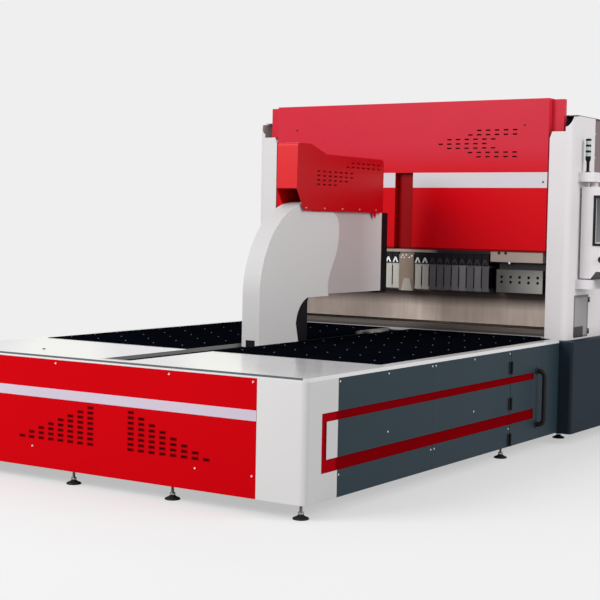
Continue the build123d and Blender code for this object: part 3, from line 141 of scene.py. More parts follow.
class BENDER_PG_colours(bpy.types.PropertyGroup):
    """Colours of the paints, plastics and metals."""

    red: colour_property("Red", "Powder coat of the table front", (0.58, 0.0006, 0.004))
    # Painted shade: the channel red as shaded in its recess along the dark side panels.
    shaded_channel_red: colour_property("Channel red", "Coat inside the side channels", (0.21, 0.0006, 0.0035))
    baffle: colour_property("Baffle", "Shaded red behind the front vents", (0.1, 0.003, 0.006))
    press_red: colour_property("Press red", "Gloss coat of the press and motor covers", (0.66, 0.0006, 0.006))
    column: colour_property("Column", "Powder coat of the press columns and console", (0.76, 0.73, 0.745))
    plinth: colour_property("Plinth", "Coat of the press base covers", (0.017, 0.026, 0.038))
    # Painted sheen: a paler red for the upper press cover, standing for reflected light.
    press_sheen: colour_property("Press haze", "Paler red of the upper press cover", (0.64, 0.026, 0.05))
    white: colour_property("White", "Powder coat of the pale covers", (0.7, 0.69, 0.69))
    plate: colour_property("Plate", "Powder coat of the table's top plate", (0.57, 0.575, 0.59))
    # Painted shade: the nose colour is the white coat darkened where the cover sits in shade.
    nose: colour_property("Nose", "Powder coat of the cover ahead of the clamp", (0.52, 0.46, 0.465))
    stripe: colour_property("Stripe", "Pale film of the table's stripe", (0.6, 0.53, 0.63))
    press_stripe: colour_property("Press stripe", "Pale film of the press cover's stripe", (0.66, 0.64, 0.68))
    slate: colour_property("Slate", "Textured coat of the dark panels", (0.021, 0.038, 0.05))
    hood: colour_property("Hood", "Coat of the rear hood", (0.165, 0.108, 0.11))
    black: colour_property("Black", "Enamel of the black castings", (0.006, 0.006, 0.008))
    brush: colour_property("Brush", "Bristles of the brush tables", (0.0018, 0.0024, 0.0046))
    slot_grey: colour_property("Slot grey", "Walls of the feed slot", (0.24, 0.235, 0.23))
    stud: colour_property("Stud", "Slide studs in the brush tables", (0.1, 0.1, 0.105))
    steel: colour_property("Steel", "Ground tool steel", (0.34, 0.33, 0.31))
    blade: colour_property("Blade", "Machined faces of the blade carrier", (0.56, 0.46, 0.4))
    tan: colour_property("Tan", "Bronze face of the centre segment", (0.24, 0.175, 0.135))
    lip: colour_property("Lip", "Oiled steel of the die and its lip", (0.085, 0.072, 0.066))
    bright: colour_property("Bright", "Chromed and plated steel", (0.78, 0.78, 0.79))
    screw: colour_property("Screw", "Zinc plated screws", (0.6, 0.6, 0.6))
    rubber: colour_property("Rubber", "Foot pads and grips", (0.012, 0.012, 0.013))
    glass: colour_property("Glass", "Screen glass", (0.03, 0.036, 0.036))
    glass_pale: colour_property("Pale glass", "Screen glass near its lower edge", (0.16, 0.17, 0.185))
    lens: colour_property("Lens", "Lenses of the stack light", (0.62, 0.7, 0.66))
    window: colour_property("Window", "Smoked window of the oil pump", (0.46, 0.44, 0.45))
    pump: colour_property("Pump", "Body of the oil pump", (0.035, 0.033, 0.035))


class BENDER_PG_fittings(bpy.types.PropertyGroup):
    """Sizes of the fittings."""

    screw_radius: length_property("Screw radius", "Radius of a panel screw's head", 0.007)
    screw_height: length_property("Screw height", "Height of a panel screw's head", 0.002)
    screw_margin: length_property("Screw margin", "Distance of screws from a panel's upper edge", 0.022)
    side_screw_pitch: length_property("Side screw pitch", "Distance between the table's side screws", 0.6)
    stud_pitch: length_property("Stud pitch", "Distance between slide studs in the brush tables", 0.268)
    stud_radius: length_property("Stud radius", "Radius of a slide stud", 0.006)
    stud_height: length_property("Stud height", "Height of a slide stud", 0.004)
    baffle_height: length_property("Baffle height", "Height of a vent baffle", 0.3)
    baffle_fold: length_property("Baffle fold", "Depth of a vent baffle's folded rim", 0.018)
    motor_baffle_fold: length_property("Motor baffle fold", "Depth of a motor baffle's folded rim", 0.008)
    tab_sheet: length_property("Tab sheet", "Thickness of the motor cover's tab", 0.002)
    wedge_width: length_property("Wedge width", "Width of a tool clamp's wedge", 0.056)
    wedge_height: length_property("Wedge height", "Height of a tool clamp's wedge", 0.046)
    wedge_depth: length_property("Wedge depth", "Thickness of a tool clamp's wedge", 0.006)
    foot_proud: length_property("Foot depth", "How far the centre tool's foot stands out", 0.014)
    bezel_width: length_property("Bezel width", "Width of the frame around the screen", 0.03)
    bezel_depth: length_property("Bezel depth", "Height of the frame around the screen", 0.006)


class BENDER_PG_studio(bpy.types.PropertyGroup):
    """The camera, the lamps and the pale ground."""

    place: bpy.props.FloatVectorProperty(
        name="Camera place", description="Where the camera stands", default=(5.68193, -9.41946, 1.75555),
        subtype="TRANSLATION", unit="LENGTH", size=3,
    )
    yaw: angle_property("Yaw", "Turn of the camera about the upright", 32.99)
    pitch: angle_property("Pitch", "Downward tilt of the camera", 3.16)
    roll: angle_property("Roll", "Turn of the camera about its axis", 1.06)
    lens: bpy.props.FloatProperty(
        name="Lens", description="Focal length in millimetres", default=83.79, min=1
    )
    ground: colour_property("Ground", "Pale floor and background", (0.863, 0.863, 0.863))
    paving: colour_property("Paving", "Floor paint that takes the machine's shadow", (0.77, 0.77, 0.77))
    bounce: colour_property("Bounce", "Colour that the floor throws back on the machine", (0.4, 0.4, 0.4))
    ambient: bpy.props.FloatProperty(
        name="Ambient", description="Strength of the even light from all sides", default=0.55, min=0
    )
    key: power_property("Key", "Power of the soft lamp at the front left", 1000)
    fill: power_property("Fill", "Power of the soft lamp at the right", 400)
    back: power_property("Back", "Power of the soft lamp behind the machine", 420)


def rgba(colour):
    """A colour with full alpha for a shader socket."""
    return (*colour, 1)


def add_node(tree, kind, inputs=None, **settings):
    """A shader node with its settings, values and links."""
    made = tree.nodes.new(kind)
    for key, value in settings.items():
        setattr(made, key, value)
    for key, value in (inputs or {}).items():
        if isinstance(value, bpy.types.NodeSocket):
            tree.links.new(value, made.inputs[key])
        else:
            made.inputs[key].default_value = value
    return made


def math_node(tree, operation, first, second=0.0, third=0.0):
    """The result of a sum on one, two or three values."""
    return add_node(tree, "ShaderNodeMath", {0: first, 1: second, 2: third}, operation=operation).outputs[0]


def both(tree, first, second):
    """A mask of what two masks share."""
    return math_node(tree, "MULTIPLY", first, second)


def either(tree, first, second):
    """A mask of what at least one of two masks covers."""
    return math_node(tree, "MAXIMUM", first, second)


def outside(tree, mask):
    """A mask of what another mask leaves out."""
    return math_node(tree, "SUBTRACT", 1.0, mask)


def ramp(tree, mask, start, end):
    """A value that goes from one level to another with a mask."""
    return math_node(tree, "MULTIPLY_ADD", mask, end - start, start)


def distance(tree, value, middle):
    """How far a value is from a middle, on either side."""
    return math_node(tree, "ABSOLUTE", math_node(tree, "SUBTRACT", value, middle))


def nearest_step(tree, value, pitch):
    """The number of the nearest step of a pitch, and the distance from it."""
    step = math_node(tree, "ROUND", math_node(tree, "DIVIDE", value, pitch))
    return step, math_node(tree, "ABSOLUTE", math_node(tree, "MULTIPLY_ADD", step, -pitch, value))


def mix_colours(tree, mask, first, second):
    """A colour between two others, by a mask."""
    inputs = {"Factor": mask, 6: first, 7: second}
    return add_node(tree, "ShaderNodeMix", inputs, data_type="RGBA").outputs[2]


def scaled(tree, colour, factor):
    """A colour made darker or brighter by a factor."""
    return add_node(tree, "ShaderNodeVectorMath", {0: colour, "Scale": factor}, operation="SCALE").outputs[0]


def object_place(tree):
    """The place on the piece in its own coordinates."""
    return add_node(tree, "ShaderNodeTexCoord").outputs["Object"]


def axis_values(tree):
    """The place across, along and above the floor as three values."""
    return add_node(tree, "ShaderNodeSeparateXYZ", {0: object_place(tree)}).outputs


def noise(tree, place, scale, detail):
    """A soft cloud of values."""
    inputs = {"Vector": place, "Scale": scale, "Detail": detail}
    return add_node(tree, "ShaderNodeTexNoise", inputs).outputs["Fac"]


def new_group(name, inputs, outputs):
    """An empty shader node group with its named sockets, and its two end nodes."""
    group = bpy.data.node_groups.new(name, "ShaderNodeTree")
    for label, kind, default in inputs:
        socket = group.interface.new_socket(label, in_out="INPUT", socket_type=kind)
        socket.default_value = default
    for label, kind in outputs:
        group.interface.new_socket(label, in_out="OUTPUT", socket_type=kind)
    return group, group.nodes.new("NodeGroupInput"), group.nodes.new("NodeGroupOutput")


def finish_group(name, extra):
    """The start of a surface finish: a group with colour, tone, gloss and one socket of its own."""
    return new_group(
        name,
        (
            ("Colour", "NodeSocketColor", (1, 1, 1, 1)),
            ("Tone", "NodeSocketFloat", 0.1),
            ("Gloss", "NodeSocketFloat", 0.4),
            extra,
        ),
        (("Colour", "NodeSocketColor"), ("Roughness", "NodeSocketFloat"), ("Height", "NodeSocketFloat")),
    )


def end_finish(group, start, end, drift, spread, height):
    """Closes a surface finish: its colour and roughness drift together over the sheet."""
    shade = math_node(group, "MULTIPLY_ADD", drift, start.outputs["Tone"], 1.0)
    rough = math_node(group, "MULTIPLY_ADD", drift, spread, start.outputs["Gloss"])
    group.links.new(scaled(group, start.outputs["Colour"], shade), end.inputs["Colour"])
    group.links.new(rough, end.inputs["Roughness"])
    group.links.new(height, end.inputs["Height"])


def coat_group():
    """Powder coat: a soft tone drift over the sheet and a fine orange peel."""
    group, start, end = finish_group("powder_coat", ("Grain", "NodeSocketFloat", 300.0))
    place = object_place(group)
    drift = ramp(group, noise(group, place, 1.4, 3.0), -1.0, 1.0)
    peel = noise(group, place, start.outputs["Grain"], 2.0)
    end_finish(group, start, end, drift, 0.08, peel)


def ground_group():
    """Ground steel: fine marks that run one way, with soft bright and dull bands."""
    group, start, end = finish_group("ground_steel", ("Stretch", "NodeSocketVector", (6.0, 200.0, 500.0)))
    place = object_place(group)
    drawn = add_node(group, "ShaderNodeMapping", {"Vector": place, "Scale": start.outputs["Stretch"]})
    marks = noise(group, drawn.outputs["Vector"], 1.0, 4.0)
    bands = noise(group, place, 5.0, 2.0)
    drift = math_node(group, "SUBTRACT", math_node(group, "ADD", marks, bands), 1.0)
    end_finish(group, start, end, drift, 0.2, marks)


def span_group():
    """A mask that is one between two limits of a value and falls off softly outside them."""
    labels = (("Value", 0.0), ("Low", 0.0), ("High", 1.0), ("Blend", 0.001))
    group, start, end = new_group(
        "span_mask",
        [(label, "NodeSocketFloat", default) for label, default in labels],
        (("Mask", "NodeSocketFloat"),),
    )
    value, low, high, blend = (start.outputs[label] for label, default in labels)
    rise = math_node(group, "DIVIDE", math_node(group, "SUBTRACT", value, low), blend)
    fall = math_node(group, "DIVIDE", math_node(group, "SUBTRACT", high, value), blend)
    inside = math_node(group, "MINIMUM", rise, fall)
    soft = add_node(group, "ShaderNodeClamp", {"Value": math_node(group, "ADD", inside, 0.5)})
    group.links.new(soft.outputs[0], end.inputs["Mask"])


def group_node(tree, name, **inputs):
    """A placed node group with its own values."""
    return add_node(tree, "ShaderNodeGroup", inputs, node_tree=bpy.data.node_groups[name])


def coat(tree, colour, tone, gloss, grain=300.0):
    """A placed powder coat."""
    return group_node(tree, "powder_coat", Colour=colour, Tone=tone, Gloss=gloss, Grain=grain)


def ground_steel(tree, colour, tone, gloss, stretch=(6.0, 200.0, 500.0)):
    """A placed ground steel."""
    return group_node(tree, "ground_steel", Colour=colour, Tone=tone, Gloss=gloss, Stretch=stretch)


def span(tree, value, low, high, blend):
    """A mask that is one between two limits of a value."""
    return group_node(tree, "span_mask", Value=value, Low=low, High=high, Blend=blend).outputs[0]


def above(tree, value, low, blend):
    """A mask that is one past a limit of a value."""
    return span(tree, value, low, FAR, blend)


def below(tree, value, high, blend):
    """A mask that is one up to a limit of a value."""
    return span(tree, value, -FAR, high, blend)


def seam(tree, value, place, half=0.0015):
    """A mask of a fine joint between two sheets."""
    return span(tree, value, place - half, place + half, 0.001)


def slot_mask(tree, across):
    """A mask of the feed slot's width."""
    return span(tree, across, CENTRE_X - SLOT_HALF, CENTRE_X + SLOT_HALF, 0.0004)


def new_material(name, **sockets):
    """A material with one main shader and its constant sockets."""
    material = bpy.data.materials.new(name)
    material.use_nodes = True
    tree = material.node_tree
    tree.nodes.clear()
    values = {key.replace("_", " "): value for key, value in sockets.items()}
    shader = add_node(tree, "ShaderNodeBsdfPrincipled", values)
    add_node(tree, "ShaderNodeOutputMaterial", {"Surface": shader.outputs[0]})
    return material, tree, shader


def finish_with(tree, shader, surface, colour, bump_strength, bump_depth):
    """Feeds a finish group's colour, roughness and height to the shader."""
    inputs = {"Strength": bump_strength, "Distance": bump_depth, "Height": surface.outputs["Height"]}
    bump = add_node(tree, "ShaderNodeBump", inputs)
    tree.links.new(colour, shader.inputs["Base Color"])
    tree.links.new(surface.outputs["Roughness"], shader.inputs["Roughness"])
    tree.links.new(bump.outputs[0], shader.inputs["Normal"])


def coat_material(name, colour, tone, gloss, grain, level):
    """A powder coated sheet."""
    material, tree, shader = new_material(name, Specular_IOR_Level=level)
    surface = coat(tree, rgba(colour), tone, gloss, grain)
    finish_with(tree, shader, surface, surface.outputs["Colour"], 0.08, 0.0006)
    return material


def steel_material(name, colour, tone, gloss):
    """A ground or machined steel face."""
    material, tree, shader = new_material(name, Metallic=1.0)
    surface = ground_steel(tree, rgba(colour), tone, gloss)
    finish_with(tree, shader, surface, surface.outputs["Colour"], 0.12, 0.0004)
    return material


def plate_material(colours):
    """The top plate: white gloss coat with painted reflection patches, a dark line painted as a reflection
    along the top of its front edge, and grey walls in the feed slot.
    """
    material, tree, shader = new_material("plate_coat", Specular_IOR_Level=0.45)
    across, along, height = axis_values(tree)
    surface = coat(tree, rgba(colours.plate), tone=0.03, gloss=0.16, grain=90.0)
    slant = math_node(tree, "MULTIPLY_ADD", along, 0.87, across)
    # Two slanting bands on the plate, a painted reflection of bright light.
    painted_reflection = either(tree, span(tree, slant, -3.3, -2.49, 0.3), span(tree, slant, -1.83, -1.31, 0.25))
    rim = below(tree, height, PLATE_HIGH.z - 0.001, 0.0005)
    front = below(tree, along, PLATE_LOW.y + 0.0012, 0.0004)
    # The joint mask here is a dark line painted as a reflection along the top of the front edge.
    joint = both(tree, front, above(tree, height, PLATE_HIGH.z - 0.013, 0.001))
    slot = both(tree, slot_mask(tree, across), above(tree, along, PLATE_LOW.y + 0.06, 0.001))
    colour = mix_colours(tree, painted_reflection, surface.outputs["Colour"], PLATE_REFLECTION_PATCH)
    colour = mix_colours(tree, rim, colour, PLATE_RIM)
    colour = mix_colours(tree, joint, colour, PLATE_EDGE_REFLECTION)
    colour = mix_colours(tree, slot, colour, rgba(colours.slot_grey))
    finish_with(tree, shader, surface, colour, 0.02, 0.0005)
    return material


def brush_material(colours):
    """Black bristle tiles: dense tufts with fine tips, and grey steel walls beside the feed slot."""
    material, tree, shader = new_material("brush_tufts", Specular_IOR_Level=0.0, Roughness=0.9)
    place = object_place(tree)
    tufts = add_node(tree, "ShaderNodeTexVoronoi", {"Vector": place, "Scale": 120.0, "Randomness": 0.35})
    shade = ramp(tree, noise(tree, place, 9.0, 4.0), 0.4, 1.6)
    across, along, _ = axis_values(tree)
    ends = either(tree, below(tree, along, -0.9, 0.1), above(tree, along, 0.75, 0.1))
    wall = both(tree, slot_mask(tree, across), ends)
    colour = mix_colours(tree, wall, scaled(tree, colours.brush, shade), rgba(colours.slot_grey))
    inputs = {"Strength": 0.6, "Distance": 0.004, "Height": tufts.outputs["Distance"]}
    bump = add_node(tree, "ShaderNodeBump", inputs, invert=True)
    tree.links.new(colour, shader.inputs["Base Color"])
    tree.links.new(bump.outputs[0], shader.inputs["Normal"])
    return material


def solids_of(node):
    """The lowest and highest corners of each separate solid in a CAD node."""
    bm = bmesh.new()
    bm.from_mesh(frame["nodes"][node].data)
    bmesh.ops.remove_doubles(bm, verts=bm.verts, dist=1e-5)
    seen = set()
    corners = []
    for first in bm.verts:
        if first in seen:
            continue
        seen.add(first)
        group = [first]
        for vert in group:
            for edge in vert.link_edges:
                other = edge.other_vert(vert)
                if other not in seen:
                    seen.add(other)
                    group.append(other)
        low = Vector([min(vert.co[axis] for vert in group) for axis in range(3)])
        high = Vector([max(vert.co[axis] for vert in group) for axis in range(3)])
        corners.append((low, high))
    bm.free()
    return corners


def tool_row():
    """The tool row's middle, the distance to its first segment, and the segments' pitch and levels."""
    low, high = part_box("centre_segment")
    middle = (low.x + high.x) / 2
    solids = [corners for corners in solids_of("blank_holder_segments") if corners[0].x > middle]
    starts = sorted(corner.x for corner, other in solids)
    pitch = starts[1] - starts[0]
    gap = pitch - (solids[0][1].x - solids[0][0].x)
    return middle, starts[0] - gap / 2 - middle, pitch, solids[0][0].z, solids[0][1].z


def segment_material(colours):
    """Blank holder segments: each its own random shade of ground steel, with painted light making the two
    segments either side of the middle brighter and warmer and the rest bluer, and dark joints.
    """
    material, tree, shader = new_material("segment_steel", Metallic=0.4)
    across, _, height = axis_values(tree)
    middle, first, pitch, low, high = tool_row()
    offset = math_node(tree, "SUBTRACT", across, middle)
    reach = math_node(tree, "SUBTRACT", math_node(tree, "ABSOLUTE", offset), first)
    steps = math_node(tree, "DIVIDE", reach, pitch)
    step = math_node(tree, "FLOOR", steps)
    seed = math_node(tree, "MULTIPLY_ADD", math_node(tree, "SIGN", offset), 37.0, step)
    chance = add_node(tree, "ShaderNodeTexWhiteNoise", {"W": seed}, noise_dimensions="1D").outputs["Value"]
    # Painted light: the segments nearest the middle are made brighter and warmer.
    near = below(tree, steps, 2.0, 0.02)
    shade = either(tree, ramp(tree, chance, 0.28, 0.73), math_node(tree, "MULTIPLY", near, 1.4))
    surface = ground_steel(tree, rgba(colours.steel), tone=0.3, gloss=0.38, stretch=(300.0, 200.0, 6.0))
    painted_light_tint = mix_colours(tree, near, SHADED_STEEL_TINT, LIT_STEEL_TINT)
    inputs = {0: surface.outputs["Colour"], 1: painted_light_tint}
    light_shaded = add_node(tree, "ShaderNodeVectorMath", inputs, operation="MULTIPLY").outputs[0]
    inner = span(tree, math_node(tree, "SUBTRACT", steps, step), 0.085, 0.915, 0.02)
    waist = span(tree, height, low + 0.045, high - 0.02, 0.004)
    joint = both(tree, outside(tree, inner), waist)
    colour = mix_colours(tree, joint, scaled(tree, light_shaded, shade), rgba(colours.black))
    finish_with(tree, shader, surface, colour, 0.12, 0.0004)
    return material


def wedge_material(colours):
    """Clamp wedges: bright near the middle of the row as painted light, darkened further out as painted
    shade.
    """
    material, tree, shader = new_material("wedge_steel", Metallic=0.5)
    middle, first, pitch = tool_row()[:3]
    near = below(tree, distance(tree, axis_values(tree)[0], middle), first + 2 * pitch, 0.01)
    surface = ground_steel(tree, rgba(colours.bright), tone=0.2, gloss=0.3)
    # Painted shade: the wedges away from the middle are darkened, and the near mask marks where they stay
    # lit.
    oiled = scaled(tree, surface.outputs["Colour"], 0.05)
    colour = mix_colours(tree, near, oiled, surface.outputs["Colour"])
    finish_with(tree, shader, surface, colour, 0.1, 0.0004)
    return material


def centre_material(colours):
    """The centre segment: bronze face with a paler ground foot."""
    material, tree, shader = new_material("centre_bronze", Metallic=0.25)
    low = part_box("centre_segment")[0]
    surface = ground_steel(tree, rgba(colours.tan), tone=0.25, gloss=0.4, stretch=(60.0, 60.0, 5.0))
    foot = below(tree, axis_values(tree)[1], low.y + 0.0125, 0.001)
    colour = mix_colours(tree, foot, surface.outputs["Colour"], CENTRE_FOOT)
    finish_with(tree, shader, surface, colour, 0.1, 0.0004)
    return material


def block_material(colours):
    """Drilled end blocks: grey ground steel with painted light that darkens it towards the tools and
    brightens it at the outer ends and lower down, with a black neck and its faces behind the front painted
    black as painted shade.
    """
    material, tree, shader = new_material("block_steel", Metallic=0.3)
    across, along, height = axis_values(tree)
    low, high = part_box("end_blocks")
    surface = ground_steel(tree, rgba(colours.steel), tone=0.2, gloss=0.4, stretch=(8.0, 60.0, 160.0))
    # Painted light: the blocks brighten towards their outer ends and lower edge.
    outer = above(tree, distance(tree, across, CENTRE_X), 1.26, 0.6)
    lower = below(tree, height, low.z + 0.13, 0.1)
    painted_light_ramp = both(tree, outer, ramp(tree, lower, 0.4, 1.0))
    face = scaled(tree, surface.outputs["Colour"], ramp(tree, painted_light_ramp, 0.22, 1.52))
    neck = above(tree, height, high.z - 0.062, 0.002)
    # Painted shade: every face behind the front face is painted black, along with the neck.
    dark = either(tree, neck, above(tree, along, low.y + 0.001, 0.0005))
    finish_with(tree, shader, surface, mix_colours(tree, dark, face, rgba(colours.black)), 0.1, 0.0004)
    return material


def press_material(colours):
    """Gloss red of the press cover, with a painted sheen of paler red on its upper part, and painted shade in
    its recess and along the fold at its lower edge.
    """
    material, tree, shader = new_material("press_coat", Specular_IOR_Level=0.08)
    across, along, height = axis_values(tree)
    low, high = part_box("press_cover")
    # Painted sheen on the upper part of the cover.
    upper = above(tree, height, (low.z + high.z) / 2 + 0.1, 0.3)
    red = mix_colours(tree, upper, rgba(colours.press_red), rgba(colours.press_sheen))
    surface = coat(tree, red, tone=0.05, gloss=0.3)
    inside = span(tree, across, CENTRE_X - 0.1, CENTRE_X + 0.1, 0.001)
    recess = both(tree, inside, span(tree, along, low.y + 0.004, high.y, 0.004))
    fold = below(tree, height, low.z + 0.018, 0.004)
    # Painted shade in the recess and along the lower fold.
    painted_shade = either(tree, math_node(tree, "MULTIPLY", recess, 0.5), math_node(tree, "MULTIPLY", fold, 0.7))
    colour = scaled(tree, surface.outputs["Colour"], outside(tree, painted_shade))
    finish_with(tree, shader, surface, colour, 0.06, 0.0006)
    return material


def nose_material(colours):
    """The nose cover: a coat darker than the white as painted shade, paling to white towards the clamp as
    painted light.
    """
    material, tree, shader = new_material("nose_coat", Specular_IOR_Level=0.3)
    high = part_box("nose_cover")[1]
    surface = coat(tree, rgba(colours.nose), tone=0.05, gloss=0.4)
    # Painted light: the cover pales to white towards the clamp.
    pale = above(tree, axis_values(tree)[1], high.y - 0.15, 0.4)
    colour = mix_colours(tree, pale, surface.outputs["Colour"], rgba(colours.white))
    finish_with(tree, shader, surface, colour, 0.06, 0.0005)
    return material


def front_material(colours):
    """The red front panel, with painted shadow around each slot of its two vent fields."""
    material, tree, shader = new_material("front_coat", Specular_IOR_Level=0.02)
    across, _, height = axis_values(tree)
    surface = coat(tree, rgba(colours.red), tone=0.05, gloss=0.5)
    reach = math_node(tree, "SUBTRACT", distance(tree, across, CENTRE_X + VENT_SHIFT), VENT_FIRST)
    rise = math_node(tree, "SUBTRACT", height, VENT_LEVEL)
    column, aside = nearest_step(tree, reach, VENT_PITCH_X)
    row, upward = nearest_step(tree, rise, VENT_PITCH_Z)
    slot = both(tree, below(tree, aside, VENT_HALF_X, 0.008), below(tree, upward, VENT_HALF_Z, 0.006))
    slant = below(tree, math_node(tree, "ADD", column, row), VENT_COUNT - 0.5, 0.1)
    legs = both(tree, above(tree, column, -0.5, 0.1), above(tree, row, -0.5, 0.1))
    shaded = both(tree, slot, both(tree, slant, legs))
    # Painted shadow: each vent slot gets a dark halo.
    colour = scaled(tree, surface.outputs["Colour"], ramp(tree, shaded, 1.0, 0.4))
    finish_with(tree, shader, surface, colour, 0.08, 0.0006)
    return material


def folded_material(name, node, colour, sides, middle, gloss, level):
    """A folded cover whose two sides and the sheet between them get different painted shade."""
    material, tree, shader = new_material(name, Specular_IOR_Level=level)
    low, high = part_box(node)
    surface = coat(tree, rgba(colour), tone=0.02, gloss=gloss)
    between = span(tree, axis_values(tree)[0], low.x + 0.002, high.x - 0.002, 0.001)
    # Painted shade: the sides and the sheet between take different brightness.
    light_shaded = scaled(tree, surface.outputs["Colour"], ramp(tree, between, sides, middle))
    finish_with(tree, shader, surface, light_shaded, 0.06, 0.0005)
    return material


def trough_mask(tree, across, along, height):
    """A mask of the walls that the side channels' troughs have in the panels around them."""
    low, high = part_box("side_channel_right")
    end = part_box("door_channel")[1].y
    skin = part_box("side_panel_right")[1].x - CENTRE_X
    margin, blend = 0.002, 0.001
    bars = solids_of("door_channel")
    levels = [span(tree, height, bar[0].z - margin, bar[1].z + margin, blend) for bar in bars]
    run = both(tree, either(tree, *levels), span(tree, along, low.y - margin, end + margin, blend))
    upright = span(tree, along, low.y - margin, low.y + 0.057, blend)
    root = both(tree, upright, span(tree, height, low.z - margin, high.z + margin, blend))
    inside = span(tree, distance(tree, across, CENTRE_X), skin - 0.03, skin - 0.0008, 0.0004)
    return both(tree, inside, either(tree, run, root))


def corner_material(colours):
    """The corner panels: white coat, greyer on the side as painted shade, with the channel's red in its
    trough.
    """
    material, tree, shader = new_material("corner_coat", Specular_IOR_Level=0.3)
    across, along, height = axis_values(tree)
    surface = coat(tree, rgba(colours.white), tone=0.02, gloss=0.5)
    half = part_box("corner_panel_right")[1].x - CENTRE_X
    # Painted shade: the side face is made greyer than the front.
    side = above(tree, distance(tree, across, CENTRE_X), half - 0.008, 0.008)
    light_shaded = scaled(tree, surface.outputs["Colour"], ramp(tree, side, 1.0, 0.85))
    colour = mix_colours(tree, trough_mask(tree, across, along, height), light_shaded, LIT_CHANNEL_RED)
    finish_with(tree, shader, surface, colour, 0.06, 0.0005)
    return material


def channel_material(colours):
    """The side channels: red darkened as painted shade along the dark panels, and brighter as painted light
    at the white corners.
    """
    material, tree, shader = new_material("channel_coat", Specular_IOR_Level=0.0)
    surface = coat(tree, rgba(colours.shaded_channel_red), tone=0.06, gloss=0.5)
    corner = below(tree, axis_values(tree)[1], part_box("side_panel_right")[0].y, 0.02)
    colour = mix_colours(tree, corner, surface.outputs["Colour"], LIT_CHANNEL_RED)
    finish_with(tree, shader, surface, colour, 0.06, 0.0005)
    return material


def panel_material(colours):
    """Dark side panels: textured coat, a fine joint between two runs and the channel's red in its trough."""
    material, tree, shader = new_material("panel_coat", Specular_IOR_Level=0.12)
    across, along, height = axis_values(tree)
    surface = coat(tree, rgba(colours.slate), tone=0.08, gloss=0.55, grain=900.0)
    joint = seam(tree, along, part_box("side_panel_right")[0].y + 1.234)
    sheet = mix_colours(tree, joint, surface.outputs["Colour"], PANEL_JOINT)
    # The trough walls take the channel red in its painted shade.
    colour = mix_colours(tree, trough_mask(tree, across, along, height), sheet, rgba(colours.shaded_channel_red))
    finish_with(tree, shader, surface, colour, 0.1, 0.0005)
    return material


def hood_material(colours):
    """The rear hood: satin coat with joints between its sheets and flush locks in the rear doors."""
    material, tree, shader = new_material("hood_coat", Specular_IOR_Level=0.35)
    across, along, height = axis_values(tree)
    low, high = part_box("rear_hood")
    surface = coat(tree, rgba(colours.hood), tone=0.06, gloss=0.35)
    reach = distance(tree, across, CENTRE_X)
    joints = either(tree, seam(tree, reach, HOOD_JOINT_X), seam(tree, height, low.z + HOOD_JOINT_RISE))
    aside = math_node(tree, "SUBTRACT", reach, LOCK_X)
    rise = math_node(tree, "SUBTRACT", distance(tree, height, LOCK_LEVEL), LOCK_RISE)
    spread = math_node(tree, "MULTIPLY_ADD", aside, aside, math_node(tree, "MULTIPLY", rise, rise))
    lock = below(tree, math_node(tree, "SQRT", spread), LOCK_RADIUS, 0.001)
    rear = above(tree, along, high.y - 0.002, 0.001)
    marks = both(tree, either(tree, lock, joints), rear)
    colour = mix_colours(tree, marks, surface.outputs["Colour"], HOOD_JOINT)
    finish_with(tree, shader, surface, colour, 0.08, 0.0005)
    return material


def screen_material(colours):
    """The screen: dark glass that pales towards its lower edge."""
    material, tree, shader = new_material("screen_glass", Coat_Weight=0.3, Coat_Roughness=0.1)
    low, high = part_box("console_screen")
    surface = coat(tree, rgba(colours.glass), tone=0.1, gloss=0.2)
    pale = below(tree, axis_values(tree)[2], (low.z + high.z) / 2, high.z - low.z)
    colour = mix_colours(tree, pale, surface.outputs["Colour"], rgba(colours.glass_pale))
    tree.links.new(colour, shader.inputs["Base Color"])
    tree.links.new(surface.outputs["Roughness"], shader.inputs["Roughness"])
    return material


def blade_material(colours):
    """The blade carrier: warm machined face with upright glints, painted light that brightens it to the right
    with a painted highlight, and a painted shadow of the beam as a dark band near its top.
    """
    material, tree, shader = new_material("blade_steel", Metallic=0.3, Specular_IOR_Level=0.3)
    across, _, height = axis_values(tree)
    surface = ground_steel(tree, rgba(colours.blade), tone=0.4, gloss=0.4, stretch=(26.0, 30.0, 1.5))
    # Painted shadow: the beam's shadow as a dark band along the top.
    beam_shadow_band = above(tree, height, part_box("blade_carrier")[1].z - 0.1, 0.1)
    # Painted light: the face brightens to the right, with a painted highlight band.
    painted_light_ramp = ramp(tree, above(tree, across, CENTRE_X - 0.1, 0.6), 0.62, 1.15)
    glint = span(tree, across, CENTRE_X + 0.1, CENTRE_X + 0.5, 0.4)
    face = scaled(tree, surface.outputs["Colour"], math_node(tree, "MULTIPLY_ADD", glint, 0.2, painted_light_ramp))
    finish_with(tree, shader, surface, mix_colours(tree, beam_shadow_band, face, BLADE_SHADOW), 0.1, 0.0005)
    return material


